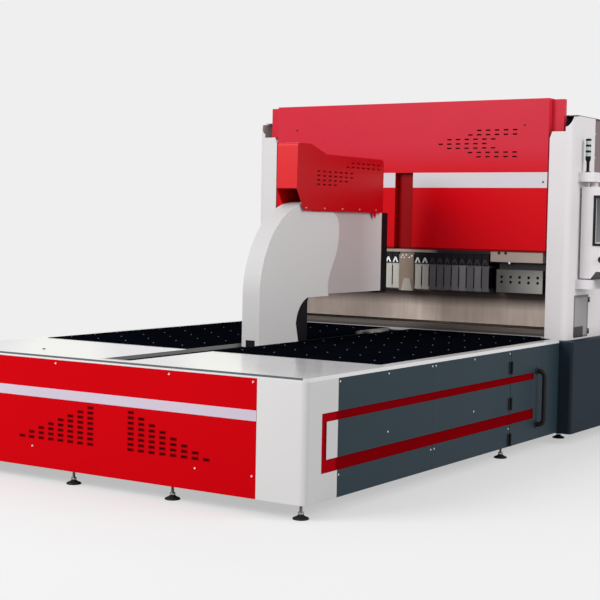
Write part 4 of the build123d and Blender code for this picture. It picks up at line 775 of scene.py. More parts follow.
def beam_material(colours):
    """The upper beam: dark coat above, a tool rail painted dark as painted shade under the cover, and painted
    light leaving it bright steel near the middle and at the end bars.
    """
    material, tree, shader = new_material("beam_coat", Metallic=0.2, Specular_IOR_Level=0.25)
    across, _, height = axis_values(tree)
    middle, first, pitch = tool_row()[:3]
    rail = below(tree, height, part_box("press_cover")[0].z - 0.001, 0.001)
    # Painted light: the rail near the middle of the row is shown lit.
    near = below(tree, distance(tree, across, middle), first + 2.7 * pitch, 0.1)
    bars = above(tree, distance(tree, across, CENTRE_X), 0.84, 0.002)
    lit_rail = both(tree, rail, either(tree, near, bars))
    surface = ground_steel(tree, rgba(colours.blade), tone=0.2, gloss=0.42)
    # Painted shade: the oiled colour is the rail's near-black painted shade under the cover.
    oiled = mix_colours(tree, rail, rgba(colours.slate), BEAM_RAIL_SHADE)
    colour = mix_colours(tree, lit_rail, oiled, scaled(tree, surface.outputs["Colour"], 0.66))
    finish_with(tree, shader, surface, colour, 0.1, 0.0004)
    return material


def bed_material(colours):
    """The lower bed: dark oiled lip with a pale lower edge."""
    material, tree, shader = new_material("bed_coat", Specular_IOR_Level=0.12)
    edge = span(tree, axis_values(tree)[2], PLATE_HIGH.z - 0.012, PLATE_HIGH.z + 0.008, 0.002)
    surface = coat(tree, rgba(colours.lip), tone=0.1, gloss=0.45)
    colour = mix_colours(tree, edge, surface.outputs["Colour"], BED_EDGE)
    finish_with(tree, shader, surface, colour, 0.08, 0.0004)
    return material


def window_material(colours):
    """Smoked see-through window with a dark gasket and a dark block behind its lower corner."""
    material, tree, shader = new_material("smoked_window", Roughness=0.25, Specular_IOR_Level=0.1)
    _, along, height = axis_values(tree)
    low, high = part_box("window_door")
    block = both(tree, below(tree, along, low.y + 0.2, 0.006), below(tree, height, low.z + 0.09, 0.006))
    width = span(tree, along, low.y + 0.012, low.y + 0.278, 0.002)
    rim = outside(tree, both(tree, width, span(tree, height, low.z + 0.016, high.z - 0.022, 0.002)))
    surface = coat(tree, rgba(colours.window), tone=0.25, gloss=0.25)
    sealed = mix_colours(tree, rim, surface.outputs["Colour"], GASKET)
    tree.links.new(mix_colours(tree, block, sealed, PUMP_BLOCK), shader.inputs["Base Color"])
    tree.links.new(ramp(tree, either(tree, block, rim), 0.62, 0.97), shader.inputs["Alpha"])
    return material


def lens_material(colours):
    """Ribbed lens plastic."""
    material, tree, shader = new_material("lens_plastic", Roughness=0.3, Transmission_Weight=0.25)
    ribs = math_node(tree, "SINE", math_node(tree, "MULTIPLY", axis_values(tree)[2], 1600.0))
    bump = add_node(tree, "ShaderNodeBump", {"Strength": 0.3, "Distance": 0.001, "Height": ribs})
    surface = coat(tree, rgba(colours.lens), tone=0.08, gloss=0.3)
    tree.links.new(surface.outputs["Colour"], shader.inputs["Base Color"])
    tree.links.new(bump.outputs[0], shader.inputs["Normal"])
    return material


# Plain coats, by the name of their colour: material, tone, gloss, grain and specular level.
COATS = {
    "red": ("red_coat", 0.04, 0.5, 260.0, 0.02),
    "baffle": ("baffle_coat", 0.04, 0.6, 260.0, 0.05),
    "white": ("white_coat", 0.02, 0.5, 260.0, 0.3),
    "column": ("column_coat", 0.02, 0.45, 260.0, 0.3),
    "plinth": ("plinth_coat", 0.08, 0.5, 900.0, 0.03),
    "stripe": ("stripe_film", 0.06, 0.35, 260.0, 0.2),
    "press_stripe": ("press_film", 0.04, 0.35, 260.0, 0.3),
    "slate": ("slate_coat", 0.08, 0.55, 900.0, 0.12),
    "black": ("black_enamel", 0.15, 0.4, 260.0, 0.15),
    "stud": ("stud_plastic", 0.1, 0.4, 260.0, 0.2),
    "rubber": ("foot_rubber", 0.2, 0.6, 700.0, 0.2),
    "pump": ("pump_enamel", 0.15, 0.4, 260.0, 0.5),
}
# Plain steels, by the name of their colour: material, tone and gloss.
STEELS = {
    "steel": ("tool_steel", 0.25, 0.34),
    "bright": ("bright_steel", 0.1, 0.18),
    "screw": ("screw_zinc", 0.1, 0.3),
}
# Folded covers: material, node, colour, painted shade of the sides and of the sheet between, gloss and
# specular level.
FOLDED = {
    "arm": ("arm_coat", "arm_cover", "white", 1.0, 0.8, 0.5, 0.3),
    "motor": ("motor_coat", "motor_cover", "press_red", 0.8, 1.0, 0.32, 0.25),
}
MARKED = {
    "front": front_material,
    "corner": corner_material,
    "channel": channel_material,
    "press": press_material,
    "plate": plate_material,
    "nose": nose_material,
    "panel": panel_material,
    "hood": hood_material,
    "brush": brush_material,
    "segment": segment_material,
    "wedge": wedge_material,
    "centre": centre_material,
    "block": block_material,
    "blade": blade_material,
    "beam": beam_material,
    "bed": bed_material,
    "screen": screen_material,
    "lens": lens_material,
    "window": window_material,
}
SLOT_FINISHES = {
    "red_paint": "red",
    "white_paint": "white",
    "stripe_paint": "stripe",
    "grey_paint": "slate",
    "black_paint": "black",
    "handle_plastic": "rubber",
    "brush_plastic": "brush",
    "tool_steel": "steel",
    "rail_steel": "steel",
    "rod_chrome": "bright",
    "cylinder_paint": "slate",
    "foot_rubber": "rubber",
    "screen_plastic": "screen",
    "button_plastic": "rubber",
    "light_plastic": "black",
    "lens_plastic": "lens",
    "pump_paint": "pump",
    "window_plastic": "window",
}
NODE_FINISHES = {
    "side_channel_right": "channel",
    "side_channel_left": "channel",
    "door_channel": "channel",
    "press_cover": "press",
    "motor_cover": "motor",
    "press_stripes": "press_stripe",
    "side_panel_right": "panel",
    "side_panel_left": "panel",
    "side_door": "panel",
    "corner_panel_right": "corner",
    "corner_panel_left": "corner",
    "rear_hood": "hood",
    "top_plate": "plate",
    "nose_cover": "nose",
    "column_cover_right_upper": "column",
    "column_cover_right_lower": "column",
    # The left column cover takes the darker white coat as painted shade, while the right one takes the column
    # coat.
    "column_cover_left": "white",
    "side_frame_left": "white",
    "front_panel": "front",
    "console_tray": "pump",
    "arm_cover": "arm",
    "console_housing": "column",
    "console_brackets": "column",
    "column_base_right": "plinth",
    "column_base_left": "plinth",
    "blank_holder_segments": "segment",
    "centre_segment": "centre",
    "end_blocks": "block",
    "blade_carrier": "blade",
    "upper_beam": "beam",
    "lower_bed": "bed",
    "lower_die": "bed",
    "upper_rotor": "black",
}
FINISH_NAMES = {}


def make_materials(colours):
    """Every finish by its name."""
    coat_group()
    ground_group()
    span_group()
    finishes = {key: make(colours) for key, make in MARKED.items()}
    for key, (name, *values) in COATS.items():
        finishes[key] = coat_material(name, getattr(colours, key), *values)
    for key, (name, *values) in STEELS.items():
        finishes[key] = steel_material(name, getattr(colours, key), *values)
    for key, (name, node, colour, *values) in FOLDED.items():
        finishes[key] = folded_material(name, node, getattr(colours, colour), *values)
    return finishes


def finish(name):
    """A finish that the paint operator has made."""
    return bpy.data.materials[FINISH_NAMES[name]]


def add_piece(bm, name, material, body, replaced=(), angle=35):
    """Turns a modelled mesh into a finished piece that rides on a body."""
    bmesh.ops.remove_doubles(bm, verts=bm.verts, dist=1e-6)
    bmesh.ops.recalc_face_normals(bm, faces=bm.faces)
    mesh = bpy.data.meshes.new(name)
    bm.to_mesh(mesh)
    bm.free()
    if not mesh.polygons:
        raise RuntimeError(f"{name} has no faces")
    mesh.shade_smooth()
    mesh.set_sharp_from_angle(angle=math.radians(angle))
    mesh.materials.append(finish(material))
    piece = bpy.data.objects.new(name, mesh)
    bpy.context.scene.collection.objects.link(piece)
    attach(piece, body)
    if replaced:
        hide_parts(*replaced)
    return piece


def new_verts(bm, before):
    """The vertices made since a set of them was taken."""
    return [vert for vert in bm.verts if vert not in before]


def verts_in(geometry):
    """The vertices among what an operator has made."""
    return [item for item in geometry if isinstance(item, bmesh.types.BMVert)]


def edges_of(verts):
    """The edges that meet some vertices."""
    return list({edge for vert in verts for edge in vert.link_edges})


def base_point(low, high):
    """The middle of a box's underside."""
    return Vector(((low.x + high.x) / 2, (low.y + high.y) / 2, low.z))


def facing(place, direction):
    """A matrix that stands a shape modelled on the ground on a face that looks in a direction."""
    return Matrix.Translation(place) @ UP.rotation_difference(direction).to_matrix().to_4x4()


def add_sheet(bm, width, height):
    """A flat rectangle on the ground, and its vertices."""
    verts = bmesh.ops.create_grid(bm, x_segments=1, y_segments=1, size=0.5)["verts"]
    bmesh.ops.scale(bm, verts=verts, vec=(width, height, 1))
    return verts


def add_tray(bm, width, height, fold, thickness, place, direction):
    """A tray of folded sheet that stands on a face."""
    before = set(bm.verts)
    folded = bmesh.ops.extrude_edge_only(bm, edges=edges_of(add_sheet(bm, width, height)))["geom"]
    bmesh.ops.translate(bm, verts=verts_in(folded), vec=(0, 0, -fold))
    faces = list({face for vert in new_verts(bm, before) for face in vert.link_faces})
    bmesh.ops.solidify(bm, geom=faces, thickness=thickness)
    bmesh.ops.transform(bm, verts=new_verts(bm, before), matrix=facing(place, direction))


def add_lathe(bm, profile, place, direction=UP, steps=32):
    """Spins an outline of radius and height pairs and stands it on a face."""
    before = set(bm.verts)
    verts = [bm.verts.new((radius, 0, height)) for radius, height in profile]
    edges = [bm.edges.new(pair) for pair in zip(verts, verts[1:])]
    bmesh.ops.spin(
        bm, geom=verts + edges, cent=(0, 0, 0), axis=(0, 0, 1), angle=math.tau, steps=steps, use_merge=True
    )
    bmesh.ops.transform(bm, verts=new_verts(bm, before), matrix=facing(place, direction))


def add_cone(bm, segments, base, top, depth, place):
    """A short upright cone on a place, and its vertices."""
    return bmesh.ops.create_cone(
        bm, cap_ends=True, segments=segments, radius1=base, radius2=top, depth=depth,
        matrix=Matrix.Translation(place + UP * depth / 2),
    )["verts"]


def add_screw(bm, sizes, place, direction):
    """A flat screw head with a socket."""
    radius, height = sizes.screw_radius, sizes.screw_height
    before = set(bm.verts)
    head = add_cone(bm, 10, radius, radius * 0.8, height, Vector((0, 0, 0)))
    faces = {face for vert in head for face in vert.link_faces}
    crown = max(faces, key=lambda face: face.calc_center_median().z)
    bmesh.ops.inset_region(bm, faces=[crown], thickness=radius * 0.35)
    bmesh.ops.translate(bm, verts=crown.verts, vec=(0, 0, -height * 0.6))
    bmesh.ops.transform(bm, verts=new_verts(bm, before), matrix=facing(place, direction))


class BENDER_OT_paint(bpy.types.Operator):
    """Give every part of the machine its paint, steel or plastic"""

    bl_idname = "bender.paint"
    bl_label = "Paint the parts"

    def execute(self, context):
        finishes = make_materials(context.scene.bender_colours)
        FINISH_NAMES.update({name: material.name for name, material in finishes.items()})
        for part in frame["record"]["subparts"]:
            node = part["node"]
            chosen = NODE_FINISHES.get(node, SLOT_FINISHES[part["material_slot"]])
            mesh = frame["nodes"][node].data
            mesh.materials.clear()
            mesh.materials.append(finishes[chosen])
        return {"FINISHED"}


class BENDER_OT_screws(bpy.types.Operator):
    """Add the screws of the table's panels and the motor cover"""

    bl_idname = "bender.screws"
    bl_label = "Panel screws"

    def execute(self, context):
        sizes = context.scene.bender_fittings
        bm = bmesh.new()
        low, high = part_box("front_panel")
        half = (high.x - low.x) / 2
        upper, middle, lower = high.z - sizes.screw_margin, 0.427, low.z + 0.138
        front_rows = ((upper, (-0.976, -0.375, 0.433, 0.976)), (lower, (-0.976, -0.548, 0.612, 0.976)))
        for level, shares in front_rows:
            for share in shares:
                add_screw(bm, sizes, Vector((CENTRE_X + share * half, low.y, level)), FORWARD)
        low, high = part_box("side_panel_right")
        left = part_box("side_panel_left")[0].x
        pitch = sizes.side_screw_pitch
        start = low.y + 0.018
        joint = 0.05
        for level, steps in ((upper, (0, 1, 2)), (lower, (0, 2)), (middle, (1,))):
            for step in steps:
                for run in (start, start + 2 * pitch + joint):
                    add_screw(bm, sizes, Vector((high.x, run + step * pitch, level)), SIDE)
                    add_screw(bm, sizes, Vector((left, run + step * pitch, level)), -SIDE)
        add_piece(bm, "panel_screws", "screw", "machine")

        bm = bmesh.new()
        low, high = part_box("motor_cover")
        first, pitch, level = low.y + 0.137, 0.267, low.z + 0.022
        for step in range(5):
            for x, side in ((high.x, SIDE), (low.x, -SIDE)):
                add_screw(bm, sizes, Vector((x, first + step * pitch, level)), side)
        add_piece(bm, "motor_screws", "screw", "manipulator")
        return {"FINISHED"}


class BENDER_OT_baffles(bpy.types.Operator):
    """Hang the folded baffles behind the vents of the front panel and the motor cover"""

    bl_idname = "bender.baffles"
    bl_label = "Vent baffles"

    def execute(self, context):
        sizes = context.scene.bender_fittings
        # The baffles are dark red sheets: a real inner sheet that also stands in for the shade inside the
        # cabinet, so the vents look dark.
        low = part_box("front_panel")[0]
        behind, rise, thickness = 0.011, 0.318, 0.0012
        bm = bmesh.new()
        for left, right in ((0.16, 0.855), (-0.785, -0.085)):
            place = Vector((CENTRE_X + (left + right) / 2, low.y + behind, low.z + rise))
            add_tray(bm, right - left, sizes.baffle_height, sizes.baffle_fold, thickness, place, FORWARD)
        add_piece(bm, "vent_baffles", "baffle", "machine")

        low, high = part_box("motor_cover")
        behind, fold, thickness = 0.006, sizes.motor_baffle_fold, 0.001
        bm = bmesh.new()
        for side, wall in ((1, high.x), (-1, low.x)):
            for start, end, bottom, top in ((0.27, 0.84, 0.185, 0.33), (0.7, 1.275, 0.337, 0.415)):
                place = Vector((wall - side * behind, low.y + (start + end) / 2, low.z + (bottom + top) / 2))
                add_tray(bm, top - bottom, end - start, fold, thickness, place, side * SIDE)
        add_piece(bm, "motor_baffles", "baffle", "manipulator")
        return {"FINISHED"}


class BENDER_OT_trim(bpy.types.Operator):
    """Add the small trim: the motor cover's tab, the plate's plug, bolt heads and cover screws"""

    bl_idname = "bender.trim"
    bl_label = "Small trim"

    def execute(self, context):
        sizes = context.scene.bender_fittings
        low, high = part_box("motor_cover")
        bm = bmesh.new()
        x = high.x - sizes.tab_sheet
        outline = ((0.171, 0.0), (0.101, 0.0), (0.119, 0.046), (0.13, 0.046))
        verts = [bm.verts.new((x, high.y - back, low.z - drop)) for back, drop in outline]
        bmesh.ops.solidify(bm, geom=[bm.faces.new(verts)], thickness=sizes.tab_sheet)
        add_piece(bm, "motor_tab", "motor", "manipulator")

        bm = bmesh.new()
        plug = ((0, 0.005), (0.006, 0.005), (0.011, 0.003), (0.0125, 0), (0, 0))
        add_lathe(bm, plug, Vector((CENTRE_X - 0.8355, PLATE_LOW.y + 0.309, PLATE_HIGH.z)), steps=20)
        add_piece(bm, "plate_plug", "rubber", "machine")

        bm = bmesh.new()
        head = ((0, 0.003), (0.006, 0.003), (0.008, 0.0015), (0.008, 0), (0, 0))
        stripe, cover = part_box("press_stripes")[0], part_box("press_cover")[0]
        for side in (1, -1):
            for reach, y, level in ((1.2975, stripe.y, 2.127), (1.1225, cover.y, 2.596)):
                add_lathe(bm, head, Vector((CENTRE_X + side * reach, y, level)), FORWARD, steps=14)
        add_piece(bm, "cover_screws", "black", "machine")

        bm = bmesh.new()
        cap = ((0, 0.006), (0.009, 0.006), (0.0115, 0.004), (0.0115, 0), (0, 0))
        beam_y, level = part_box("upper_beam")[0].y, cover.z - 0.012
        for side in (1, -1):
            for reach in (0.9175, 0.9775):
                add_lathe(bm, cap, Vector((CENTRE_X + side * reach, beam_y, level)), FORWARD, steps=14)
        add_piece(bm, "rail_bolts", "black", "beam")
        return {"FINISHED"}


class BENDER_OT_hood(bpy.types.Operator):
    """Screw the rear hood's side sheets down"""

    bl_idname = "bender.hood"
    bl_label = "Hood screws"

    def execute(self, context):
        low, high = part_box("rear_hood")
        wall = (high.x - low.x) / 2 - 0.02
        first, pitch = 1.35, 0.2
        bm = bmesh.new()
        for side in (1, -1):
            for row in range(7):
                for y in (high.y - 0.03, high.y - 0.74):
                    place = Vector((CENTRE_X + side * wall, y, first + row * pitch))
                    add_screw(bm, context.scene.bender_fittings, place, side * SIDE)
        add_piece(bm, "hood_screws", "screw", "machine")
        return {"FINISHED"}


class BENDER_OT_studs(bpy.types.Operator):
    """Set the pale slide studs into the brush tables"""

    bl_idname = "bender.studs"
    bl_label = "Brush table studs"

    def execute(self, context):
        sizes = context.scene.bender_fittings
        radius, margin = sizes.stud_radius, 0.02
        bm = bmesh.new()
        for node in ("brush_table_right", "brush_table_left"):
            low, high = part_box(node)
            column = CENTRE_X + 1.297
            while column > low.x:
                row = low.y + 0.19
                while row < PLATE_HIGH.y and low.x + margin < column < high.x - margin:
                    add_cone(bm, 8, radius, radius * 0.6, sizes.stud_height, Vector((column, row, high.z)))
                    row += sizes.stud_pitch
                column -= sizes.stud_pitch
        add_piece(bm, "slide_studs", "stud", "machine")
        return {"FINISHED"}


class BENDER_OT_wedges(bpy.types.Operator):
    """Add the wedges of the tool clamps and the fittings on the beam"""

    bl_idname = "bender.wedges"
    bl_label = "Clamp wedges"

    def execute(self, context):
        sizes = context.scene.bender_fittings
        width, height, depth = sizes.wedge_width, sizes.wedge_height, sizes.wedge_depth
        shares = ((-0.5, 0), (-0.14, 1), (0.14, 1), (0.5, 0), (0.22, 0), (0, 0.6), (-0.22, 0))
        bm = bmesh.new()
        for low, high in solids_of("tool_clamps"):
            middle, base = (low.x + high.x) / 2, low.z + 0.007
            before = set(bm.verts)
            outline = [(middle + across * width, low.y, base + rise * height) for across, rise in shares]
            face = bm.faces.new([bm.verts.new(corner) for corner in outline])
            bmesh.ops.solidify(bm, geom=[face], thickness=depth)
            bmesh.ops.translate(bm, verts=new_verts(bm, before), vec=(0, -depth / 2, 0))
        add_piece(bm, "clamp_wedges", "wedge", "beam")

        bm = bmesh.new()
        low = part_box("upper_beam")[0]
        stop = ((0, 0.016), (0.008, 0.016), (0.008, 0.01), (0.014, 0.01), (0.014, 0), (0, 0))
        for side in (1, -1):
            add_lathe(bm, stop, Vector((CENTRE_X + side, low.y + 0.03, low.z)), -UP, steps=16)
        low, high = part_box("centre_segment")
        middle, face_y = (low.x + high.x) / 2, low.y + sizes.foot_proud
        pin = ((0, 0.004), (0.006, 0.004), (0.008, 0.002), (0.008, 0), (0, 0))
        upper_pins = ((0.055, 0.035), (-0.035, 0.03), (0.0, 0.028))
        for across, drop in ((-0.05, 0.05), (-0.02, 0.05), (0.03, 0.05), *upper_pins):
            add_lathe(bm, pin, Vector((middle + across, face_y, high.z - drop)), FORWARD, steps=12)
        add_piece(bm, "beam_fittings", "bright", "beam")
        return {"FINISHED"}


class BENDER_OT_feet(bpy.types.Operator):
    """Turn the levelling feet: moulded pads, threaded studs and nuts"""

    bl_idname = "bender.feet"
    bl_label = "Levelling feet"

    def execute(self, context):
        pads = bmesh.new()
        shares = (
            (0, 0), (0.96, 0), (1, 0.1), (1, 0.26), (0.92, 0.38),
            (0.66, 0.58), (0.44, 0.8), (0.34, 1), (0, 1),
        )
        for low, high in solids_of("foot_pads"):
            radius, height = (high.x - low.x) / 2, high.z - low.z
            add_lathe(pads, [(out * radius, up * height) for out, up in shares], base_point(low, high))
        add_piece(pads, "foot_pads_turned", "rubber", "machine", ("foot_pads",), angle=50)

        studs = bmesh.new()
        radius, turns, nut_radius, nut_height = 0.01, 14, 0.019, 0.016
        for low, high in solids_of("foot_studs"):
            place, height = base_point(low, high), high.z - low.z
            profile = [(0, 0)]
            for turn in range(turns):
                start = height * turn / turns
                profile += [(radius * 0.84, start), (radius, start + height * 0.5 / turns)]
            profile += [(radius * 0.84, height), (0, height)]
            add_lathe(studs, profile, place, steps=16)
            for level in (0, height - nut_height):
                nut = add_cone(studs, 6, nut_radius, nut_radius, nut_height, place + UP * level)
                bmesh.ops.bevel(
                    studs, geom=edges_of(nut), offset=0.0015, affect="EDGES", segments=1, profile=0.5,
                    material=-1,
                )
        add_piece(studs, "foot_studs_turned", "steel", "machine", ("foot_studs",))
        return {"FINISHED"}


class BENDER_OT_handle(bpy.types.Operator):
    """Bend the door's pull handle from a round bar with flanged ends"""

    bl_idname = "bender.handle"
    bl_label = "Door handle"

    def execute(self, context):
        low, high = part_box("door_handle")
        radius = (high.y - low.y) / 2
        bend = 0.045
        y = (low.y + high.y) / 2
        top, bottom = high.z - radius, low.z + radius
        out = high.x - radius
        bm = bmesh.new()
        ring = bmesh.ops.create_circle(
            bm, cap_ends=False, segments=20, radius=radius, matrix=facing(Vector((low.x, y, top)), SIDE)
        )
        edges = self.run(bm, edges_of(ring["verts"]), Vector((out - bend - low.x, 0, 0)))
        edges = self.turn(bm, edges, Vector((out - bend, y, top - bend)))
        edges = self.run(bm, edges, Vector((0, 0, bottom - top + 2 * bend)))
        edges = self.turn(bm, edges, Vector((out - bend, y, bottom + bend)))
        self.run(bm, edges, Vector((low.x - out + bend, 0, 0)))
        flange = ((0, 0), (radius * 1.5, 0), (radius * 1.5, 0.005), (radius * 1.3, 0.008), (radius, 0.008))
        for level in (top, bottom):
            add_lathe(bm, flange, Vector((low.x, y, level)), SIDE, steps=20)
        add_piece(bm, "handle_bar", "rubber", "door", ("door_handle",))
        return {"FINISHED"}

    def run(self, bm, edges, way):
        """Extrudes a ring of edges along a straight run and returns the far ring."""
        made = bmesh.ops.extrude_edge_only(bm, edges=edges)["geom"]
        bmesh.ops.translate(bm, verts=verts_in(made), vec=way)
        return [item for item in made if isinstance(item, bmesh.types.BMEdge) and item.is_boundary]

    def turn(self, bm, edges, centre):
        """Spins a ring of edges through a right angle and returns the far ring."""
        made = bmesh.ops.spin(
            bm, geom=edges, cent=centre, axis=(0, 1, 0), angle=math.pi / 2, steps=8, use_merge=False
        )["geom_last"]
        return [item for item in made if isinstance(item, bmesh.types.BMEdge)]


class BENDER_OT_light(bpy.types.Operator):
    """Turn the stack light with its pole, collars and lenses"""

    bl_idname = "bender.light"
    bl_label = "Stack light"

    def execute(self, context):
        low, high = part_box("stack_light_body")
        place = base_point(low, high)
        foot = (high.x - low.x) / 2
        lens_boxes = sorted(solids_of("stack_light_lenses"), key=lambda corners: corners[0].z)
        radius = (lens_boxes[0][1].x - lens_boxes[0][0].x) / 2
        pole = radius * 0.57
        collar = lens_boxes[0][0].z - low.z
        ring = high.z - lens_boxes[-1][1].z
        bm = bmesh.new()
        profile = (
            (0, 0), (foot, 0), (foot, 0.006), (foot * 0.9, 0.008), (pole, 0.01), (pole, collar * 0.64),
            (radius * 0.9, collar * 0.78), (radius, collar * 0.81), (radius, collar), (0, collar),
        )
        add_lathe(bm, profile, place)
        lenses = bmesh.new()
        for lens_low, lens_high in lens_boxes:
            start, level = lens_low.z - low.z, lens_high.z - low.z
            shares = ((0, 0), (1, 0), (1, 0.8), (0.94, 1), (0, 1))
            add_lathe(bm, [(out * radius, level + up * ring) for out, up in shares], place)
            profile = ((0, start), (radius * 0.95, start), (radius * 0.95, level), (0, level))
            add_lathe(lenses, profile, place)
        add_piece(bm, "stack_light_turned", "black", "machine", ("stack_light_body",))
        add_piece(lenses, "stack_lenses_turned", "lens", "machine", ("stack_light_lenses",))
        return {"FINISHED"}


class BENDER_OT_console(bpy.types.Operator):
    """Add the screen's frame and the push button with its collar"""

    bl_idname = "bender.console"
    bl_label = "Console fittings"

    def execute(self, context):
        sizes = context.scene.bender_fittings
        low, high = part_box("console_screen")
        face_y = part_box("console_housing")[0].y
        side_room, end_room, drop = 0.05, 0.034, 0.012
        bm = bmesh.new()
        add_sheet(bm, high.x - low.x + side_room, high.z - low.z + end_room)
        pane = bm.faces[:]
        bmesh.ops.inset_region(bm, faces=pane, thickness=sizes.bezel_width, use_boundary=True)
        bmesh.ops.delete(bm, geom=pane, context="FACES")
        bmesh.ops.solidify(bm, geom=bm.faces[:], thickness=-sizes.bezel_depth)
        middle = (low + high) / 2
        stand = facing(Vector((middle.x, face_y, middle.z - drop)), FORWARD)
        bmesh.ops.transform(bm, verts=bm.verts, matrix=stand)
        add_piece(bm, "screen_frame", "black", "console")

        low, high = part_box("console_button")
        place = Vector(((low.x + high.x) / 2, face_y, (low.z + high.z) / 2))
        radius, reach = (high.x - low.x) / 2, face_y - low.y
        bm = bmesh.new()
        shares = ((1.05, 0), (1.35, 0), (1.35, 0.003), (1.1, 0.005), (1.05, 0.005))
        add_lathe(bm, [(out * radius, up) for out, up in shares], place, FORWARD)
        add_piece(bm, "button_collar", "black", "console")

        bm = bmesh.new()
        shares = (
            (0, -0.01), (0.5, -0.01), (0.5, 0.0065), (0.98, 0.0065),
            (0.98, reach * 0.8), (0.86, reach), (0, reach),
        )
        add_lathe(bm, [(out * radius, up) for out, up in shares], place, FORWARD)
        add_piece(bm, "button_cap", "rubber", "button", ("console_button",))
        return {"FINISHED"}


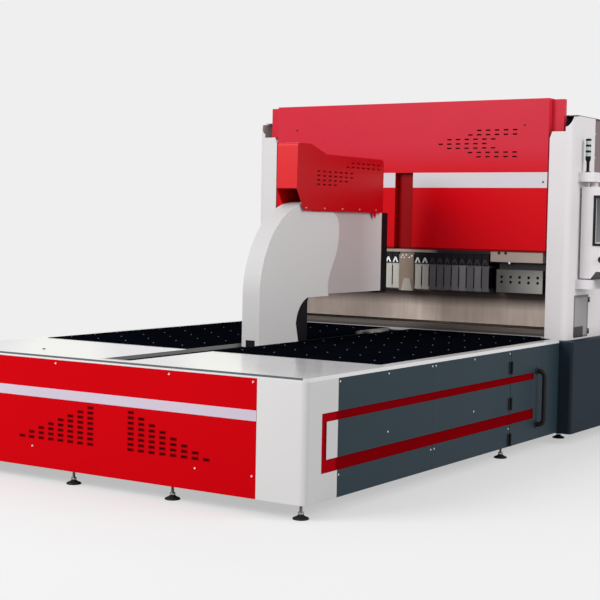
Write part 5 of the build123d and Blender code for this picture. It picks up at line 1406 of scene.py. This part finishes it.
class BENDER_OT_stage(bpy.types.Operator):
    """Set the pale floor, the soft lamps and the camera"""

    bl_idname = "bender.stage"
    bl_label = "Studio"

    def execute(self, context):
        studio = context.scene.bender_studio
        self.floor(studio)
        self.world(context.scene, studio)
        lamps = (("key", (-4.5, -10, 7), 6), ("fill", (9.5, -0.5, 5), 5), ("back", (-3, 9, 7), 6))
        for name, place, size in lamps:
            self.lamp(f"{name}_lamp", Vector(place), size, getattr(studio, name))
        self.camera(context.scene, studio)
        context.scene.view_settings.view_transform = "Standard"
        return {"FINISHED"}

    def plain_rays(self, tree):
        """A mask of the rays that see the ground itself, directly, in gloss or through glass."""
        path = add_node(tree, "ShaderNodeLightPath").outputs
        seen = either(tree, path["Is Camera Ray"], path["Is Glossy Ray"])
        return either(tree, seen, path["Is Transmission Ray"])

    def floor(self, studio):
        """A wide pale floor that keeps the shadow near the machine and fades into the background."""
        bm = bmesh.new()
        bmesh.ops.create_circle(bm, cap_ends=True, segments=64, radius=60)
        mesh = bpy.data.meshes.new("floor")
        bm.to_mesh(mesh)
        bm.free()
        floor = bpy.data.objects.new("floor", mesh)
        bpy.context.scene.collection.objects.link(floor)
        material = bpy.data.materials.new("floor_paint")
        material.use_nodes = True
        tree = material.node_tree
        tree.nodes.clear()
        inputs = {0: object_place(tree)}
        reach = add_node(tree, "ShaderNodeVectorMath", inputs, operation="LENGTH").outputs["Value"]
        even = ramp(tree, above(tree, reach, 6.0, 5.0), 0.55, 1.0)
        across, along, _ = axis_values(tree)
        inset, blend = 0.65, 0.4
        width = span(tree, across, PLATE_LOW.x + inset, PLATE_HIGH.x - inset, blend)
        under = both(tree, width, span(tree, along, PLATE_LOW.y + inset, cad_box[1][1] - blend, blend))
        clear = self.plain_rays(tree)
        share = both(tree, clear, both(tree, even, outside(tree, under)))
        matt = add_node(tree, "ShaderNodeBsdfDiffuse", {"Color": rgba(studio.paving)}).outputs[0]
        dull = add_node(tree, "ShaderNodeBsdfDiffuse", {"Color": rgba(studio.bounce)}).outputs[0]
        inputs = {"Color": rgba(studio.ground), "Strength": 1.0}
        glow = add_node(tree, "ShaderNodeEmission", inputs).outputs[0]
        shown = add_node(tree, "ShaderNodeMixShader", {0: share, 1: matt, 2: glow}).outputs[0]
        mixed = add_node(tree, "ShaderNodeMixShader", {0: clear, 1: dull, 2: shown}).outputs[0]
        add_node(tree, "ShaderNodeOutputMaterial", {"Surface": mixed})
        mesh.materials.append(material)

    def world(self, scene, studio):
        """Even light from all sides, and the pale ground colour where it is seen."""
        world = bpy.data.worlds.new("studio")
        world.use_nodes = True
        tree = world.node_tree
        tree.nodes.clear()
        inputs = {"Color": (1, 1, 1, 1), "Strength": studio.ambient}
        lit = add_node(tree, "ShaderNodeBackground", inputs).outputs[0]
        inputs = {"Color": rgba(studio.ground), "Strength": 1.0}
        seen = add_node(tree, "ShaderNodeBackground", inputs).outputs[0]
        clear = self.plain_rays(tree)
        mixed = add_node(tree, "ShaderNodeMixShader", {0: clear, 1: lit, 2: seen}).outputs[0]
        add_node(tree, "ShaderNodeOutputWorld", {"Surface": mixed})
        scene.world = world

    def lamp(self, name, place, size, power):
        """A large square lamp that looks at the machine's middle."""
        light = bpy.data.lights.new(name, "AREA")
        light.size = size
        light.energy = power
        lamp = bpy.data.objects.new(name, light)
        aim = Vector((0, 0, 1))
        turn = (aim - place).to_track_quat("-Z", "Y").to_matrix().to_4x4()
        lamp.matrix_world = Matrix.Translation(place) @ turn
        bpy.context.scene.collection.objects.link(lamp)

    def camera(self, scene, studio):
        """The camera at the photograph's angle."""
        data = bpy.data.cameras.new("camera")
        data.lens = studio.lens
        data.sensor_fit = "HORIZONTAL"
        data.sensor_width = 36
        data.clip_end = 200
        camera = bpy.data.objects.new("camera", data)
        turn = Matrix.Rotation(studio.yaw, 4, "Z") @ Matrix.Rotation(math.pi / 2 - studio.pitch, 4, "X")
        camera.matrix_world = Matrix.Translation(studio.place) @ turn @ Matrix.Rotation(studio.roll, 4, "Z")
        scene.collection.objects.link(camera)
        scene.camera = camera


OPERATORS = (
    BENDER_OT_paint,
    BENDER_OT_baffles,
    BENDER_OT_screws,
    BENDER_OT_trim,
    BENDER_OT_hood,
    BENDER_OT_studs,
    BENDER_OT_wedges,
    BENDER_OT_feet,
    BENDER_OT_handle,
    BENDER_OT_light,
    BENDER_OT_console,
    BENDER_OT_stage,
)


class BENDER_PT_sidebar(bpy.types.Panel):
    """Lists the finishing steps of the bending centre"""

    bl_idname = "BENDER_PT_sidebar"
    bl_label = "Bending Centre"
    bl_space_type = "VIEW_3D"
    bl_region_type = "UI"
    bl_category = "Bending Centre"

    def draw(self, context):
        for operator in OPERATORS:
            self.layout.operator(operator.bl_idname)


SETTINGS = (
    ("bender_colours", BENDER_PG_colours),
    ("bender_fittings", BENDER_PG_fittings),
    ("bender_studio", BENDER_PG_studio),
)


def register():
    for name, group in SETTINGS:
        bpy.utils.register_class(group)
        setattr(bpy.types.Scene, name, bpy.props.PointerProperty(type=group))
    for kind in (*OPERATORS, BENDER_PT_sidebar):
        bpy.utils.register_class(kind)


def unregister():
    for kind in reversed((*OPERATORS, BENDER_PT_sidebar)):
        bpy.utils.unregister_class(kind)
    for name, group in reversed(SETTINGS):
        delattr(bpy.types.Scene, name)
        bpy.utils.unregister_class(group)


def main():
    register()
    bpy.ops.bender.paint()
    bpy.ops.bender.baffles()
    bpy.ops.bender.screws()
    bpy.ops.bender.trim()
    bpy.ops.bender.hood()
    bpy.ops.bender.studs()
    bpy.ops.bender.wedges()
    bpy.ops.bender.feet()
    bpy.ops.bender.handle()
    bpy.ops.bender.light()
    bpy.ops.bender.console()
    bpy.ops.bender.stage()


if __name__ == "__main__":
    main()
